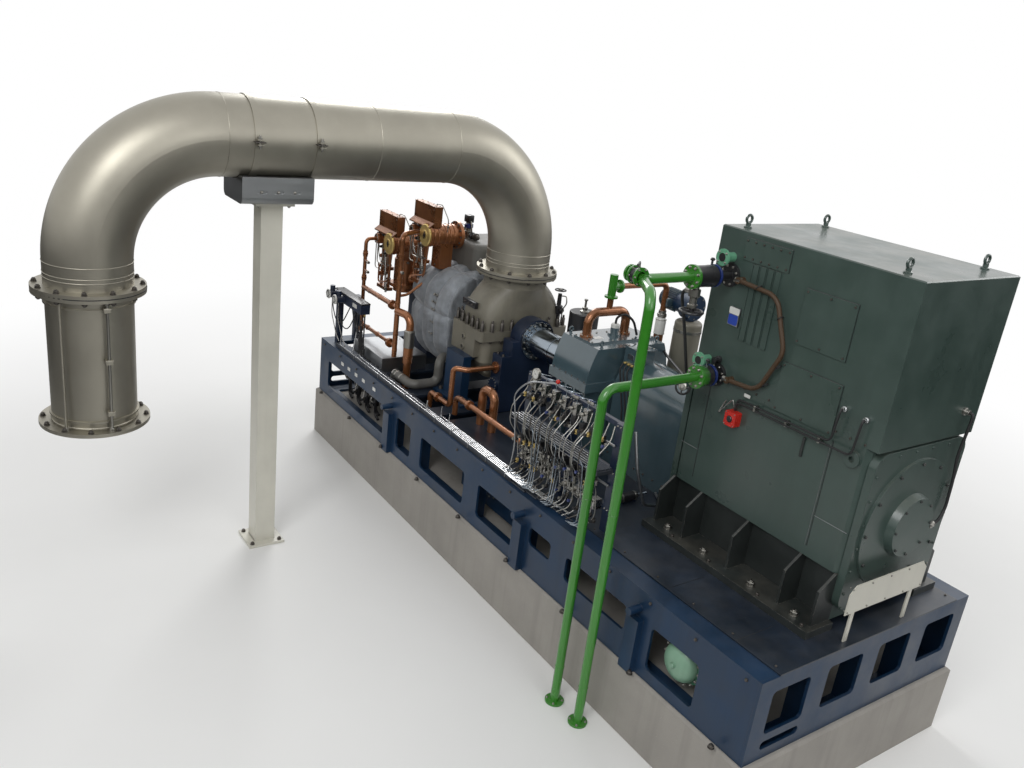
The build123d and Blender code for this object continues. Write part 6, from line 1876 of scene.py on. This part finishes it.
class TURBINE_OT_far_side(bpy.types.Operator):
    """Small valve, flanges, cooler bolts and tank fittings that sit low down or on the far side"""

    bl_idname = "turbine.far_side"
    bl_label = "Far Side"

    def execute(self, context):
        kit = Kit("far_side")
        self.valve(kit)
        self.cooler_end(kit)
        self.windows(kit)
        self.tank(kit)
        return kit.close()

    def valve(self, kit):
        """The dark valve behind the exhaust casing, with its handwheel and thin pipe."""
        at = local((-1.1, 0.46, 2.15))
        body = [(0, 0.03), (0.14, 0.03), (0.15, 0.048), (0.24, 0.048), (0.25, 0.026), (0.38, 0.022)]
        turned(kit["black_enamel"], at(0, 0, 0), up, body, 18)
        rod(kit["black_enamel"], at(-0.07, 0, 0.2), at(0.08, 0, 0.2), 0.03, 14)
        handwheel(kit["black_enamel"], kit["bright_bolt"], at(0, 0, 0.42), up, 0.06, 0.008)
        pipe = [at(0.03, 0, 0.36), at(0.12, 0, 0.38), at(0.14, 0, 0.3), at(0.08, 0, 0.22), at(0.07, 0, 0.02)]
        tube(kit["bright_bolt"], pipe, 0.007, 0.03)

    def cooler_end(self, kit):
        """The pale dome of the oil cooler's end, with its nuts and plug."""
        centre = Vector((2.94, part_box("oil_cooler")[0].y, 0.9))
        dome = [(0, 0.155), (0.03, 0.15), (0.055, 0.132), (0.075, 0.1), (0.087, 0.06), (0.091, 0.02)]
        turned(kit["pale_mint"], centre, near_way, dome, 40)
        each(nut, kit["bright_bolt"], ring_of(16, centre, near_way, 0.172), near_way, 0.012)
        bar(kit["pale_mint"], centre + near_way * 0.08, near_way, 0.035, 0.022, 14)

    def windows(self, kit):
        """Valves and pipes seen through the first and the fifth window of the near girder."""
        chance = random.Random(11)
        spindle = [(-0.05, 0.04), (0.03, 0.04), (0.05, 0.024), (0.09, 0.016)]
        for step in range(9):
            x = -3.42 + 0.125 * step
            y = -0.94 - 0.07 * (step % 2)
            body = Vector((x, y, chance.uniform(0.76, 0.92)))
            turned(kit["black_enamel"], body, up, spindle, 18)
            rod(kit["bright_bolt"], body + near_way * 0.07, body + far_way * 0.07, 0.024, 12)
            handwheel(kit["black_enamel"], kit["bright_bolt"], body + up * 0.1, up, 0.045, 0.006)
            tube(kit["black_enamel"], [body - up * 0.04, (x, y, 0.66), (x + 0.09, y, 0.63)], 0.018, 0.04, 10)
            reach = chance.uniform(0.05, 0.12)
            leaving = [body + near_way * 0.06, body + Vector((reach, -0.09, 0.02))]
            rise = [(x + reach, y - 0.05, 1.02), (x + reach, y + 0.02, 1.28)]
            tube(kit["tube_steel"], leaving + rise, 0.008, 0.04)

    def tank(self, kit):
        """Cover with its nuts, and sight glass, of the oil tank."""
        low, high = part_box("oil_tank")
        cover = Vector(((low.x + high.x) / 2, low.y, 0.94))
        rim = [(0, 0.17), (0.012, 0.17), (0.016, 0.15), (0.016, 0.1)]
        turned(kit["frame_blue"], cover, near_way, rim, 40)
        nuts = ring_of(12, cover + near_way * 0.012, near_way, 0.155)
        each(nut, kit["bright_bolt"], nuts, near_way, 0.011)
        glass = Vector((high.x - 0.1, low.y - 0.02, 0.74))
        bar(kit["bright_bolt"], glass, up, 0.3, 0.009)
        for end in (glass, glass + up * 0.3):
            union(kit["brass"], end, up, 0.02)
            bar(kit["brass"], end, far_way, 0.03, 0.012, 8)


class TURBINE_OT_studio(bpy.types.Operator):
    """Pale floor, soft lamps, white background and the camera"""

    bl_idname = "turbine.studio"
    bl_label = "Studio"

    def execute(self, context):
        self.place_camera(context.scene)
        self.lay_floor()
        self.light(context.scene)
        return {"FINISHED"}

    def place_camera(self, scene):
        """The camera where the photograph was taken."""
        view = scene.camera_place
        level = Vector((math.sin(view.azimuth), -math.cos(view.azimuth), 0))
        back = level * math.cos(view.elevation) + Vector((0, 0, math.sin(view.elevation)))
        right = Vector((0, 0, 1)).cross(back).normalized()
        up = back.cross(right)
        rolled_right = right * math.cos(view.roll) + up * math.sin(view.roll)
        rolled_up = up * math.cos(view.roll) - right * math.sin(view.roll)
        camera = bpy.data.objects.new("camera", bpy.data.cameras.new("camera"))
        camera.data.lens = view.lens
        camera.data.sensor_width = 36
        turn = Matrix((rolled_right, rolled_up, back)).transposed()
        camera.matrix_world = Matrix.Translation(view.place) @ turn.to_4x4()
        scene.collection.objects.link(camera)
        scene.camera = camera

    def lay_floor(self):
        """A wide pale floor that goes to white away from the machine."""
        bm = bmesh.new()
        reach = 60
        for x, y in ((-reach, -reach), (reach, -reach), (reach, reach), (-reach, reach)):
            bm.verts.new((x, y, -0.001))
        bm.faces.new(bm.verts)
        mesh = bpy.data.meshes.new("floor")
        bm.to_mesh(mesh)
        bm.free()
        floor = bpy.data.objects.new("floor", mesh)
        bpy.context.scene.collection.objects.link(floor)
        shade = Shade("floor", (0.84, 0.84, 0.83), 0.8)
        mottle = noise_node(shade.tree, shade.place, 0.8, 3.0)
        away = shade.node("ShaderNodeVectorMath", operation="LENGTH")
        shade.join(shade.place, away.inputs[0])
        far = shade.node("ShaderNodeMapRange", interpolation_type="SMOOTHSTEP")
        far.inputs["From Min"].default_value = 4.5
        far.inputs["From Max"].default_value = 11.0
        shade.join(away.outputs["Value"], far.inputs["Value"])
        near_tone = shade.mix(mottle, (0.83, 0.83, 0.82), (0.87, 0.87, 0.86))
        shade.feed("Base Color", shade.mix(far.outputs["Result"], near_tone, (0, 0, 0)))
        shade.set_input("Specular IOR Level", 0.0)
        shade.set_input("Emission Color", (1, 1, 1, 1))
        seen = shade.node("ShaderNodeLightPath")
        glow = math_node(shade.tree, "MULTIPLY", far.outputs["Result"], seen.outputs["Is Camera Ray"])
        shade.feed("Emission Strength", glow)
        mesh.materials.append(shade.material)

    def light(self, scene):
        """Soft lamps from both sides and above, and a world that shows white behind the machine."""
        lamps = (
            ("key", (5.5, -9.0, 9.5), 480, 5.0),
            ("fill", (10.5, -2.0, 6.0), 130, 5.0),
            ("window", (-8.5, 2.0, 8.0), 520, 4.5),
            ("back", (3.0, 9.5, 8.0), 320, 6.0),
        )
        target = Vector((0.3, -0.8, 1.6))
        for name, place, power, size in lamps:
            lamp = bpy.data.lights.new(name, "AREA")
            lamp.energy = power
            lamp.size = size
            holder = bpy.data.objects.new(name, lamp)
            holder.location = place
            holder.rotation_euler = (target - Vector(place)).to_track_quat("-Z", "Y").to_euler()
            scene.collection.objects.link(holder)
        world = bpy.data.worlds.new("studio")
        world.use_nodes = True
        scene.world = world
        tree = world.node_tree
        backdrop = tree.nodes["Background"]
        backdrop.inputs["Color"].default_value = (1, 1, 1, 1)
        seen = tree.nodes.new("ShaderNodeLightPath")
        rays = ("Camera", "Glossy", "Transmission")
        camera, glossy, clear = (seen.outputs[f"Is {ray} Ray"] for ray in rays)
        shown = math_node(tree, "MAXIMUM", math_node(tree, "MAXIMUM", camera, glossy), clear)
        strength = tree.nodes.new("ShaderNodeMapRange")
        strength.inputs["To Min"].default_value = 0.45
        strength.inputs["To Max"].default_value = 1.0
        tree.links.new(shown, strength.inputs["Value"])
        tree.links.new(strength.outputs["Result"], backdrop.inputs["Strength"])
        scene.view_settings.view_transform = "Standard"


class TURBINE_PT_panel(bpy.types.Panel):
    """Lists the steps, their colours and the camera"""

    bl_idname = "TURBINE_PT_panel"
    bl_label = "Turbine Generator"
    bl_space_type = "VIEW_3D"
    bl_region_type = "UI"
    bl_category = "Turbine"

    def draw(self, context):
        for step in steps:
            self.layout.operator(step.bl_idname)
        for group in (context.scene.finish_colours, context.scene.camera_place):
            for name in group.bl_rna.properties.keys():
                if name not in ("name", "rna_type"):
                    self.layout.prop(group, name)


steps = [
    TURBINE_OT_finishes,
    TURBINE_OT_duct_fittings,
    TURBINE_OT_casing_studs,
    TURBINE_OT_insulation,
    TURBINE_OT_valve_gear,
    TURBINE_OT_oil_pipes,
    TURBINE_OT_frame_details,
    TURBINE_OT_gear_details,
    TURBINE_OT_rack,
    TURBINE_OT_generator_details,
    TURBINE_OT_riser_fittings,
    TURBINE_OT_stand_fittings,
    TURBINE_OT_far_side,
    TURBINE_OT_studio,
]
setting_groups = {"finish_colours": FinishColours, "camera_place": CameraPlace}


def register():
    """Add the classes and the scene's settings."""
    for group in setting_groups.values():
        bpy.utils.register_class(group)
    for name, group in setting_groups.items():
        setattr(bpy.types.Scene, name, bpy.props.PointerProperty(type=group))
    for step in steps:
        bpy.utils.register_class(step)
    bpy.utils.register_class(TURBINE_PT_panel)


def unregister():
    """Remove what register added."""
    bpy.utils.unregister_class(TURBINE_PT_panel)
    for step in reversed(steps):
        bpy.utils.unregister_class(step)
    for name, group in setting_groups.items():
        delattr(bpy.types.Scene, name)
        bpy.utils.unregister_class(group)


def main():
    """Register the classes, then run every step in order."""
    register()
    for step in steps:
        area, call = step.bl_idname.split(".")
        getattr(getattr(bpy.ops, area), call)()


if __name__ == "__main__":
    main()
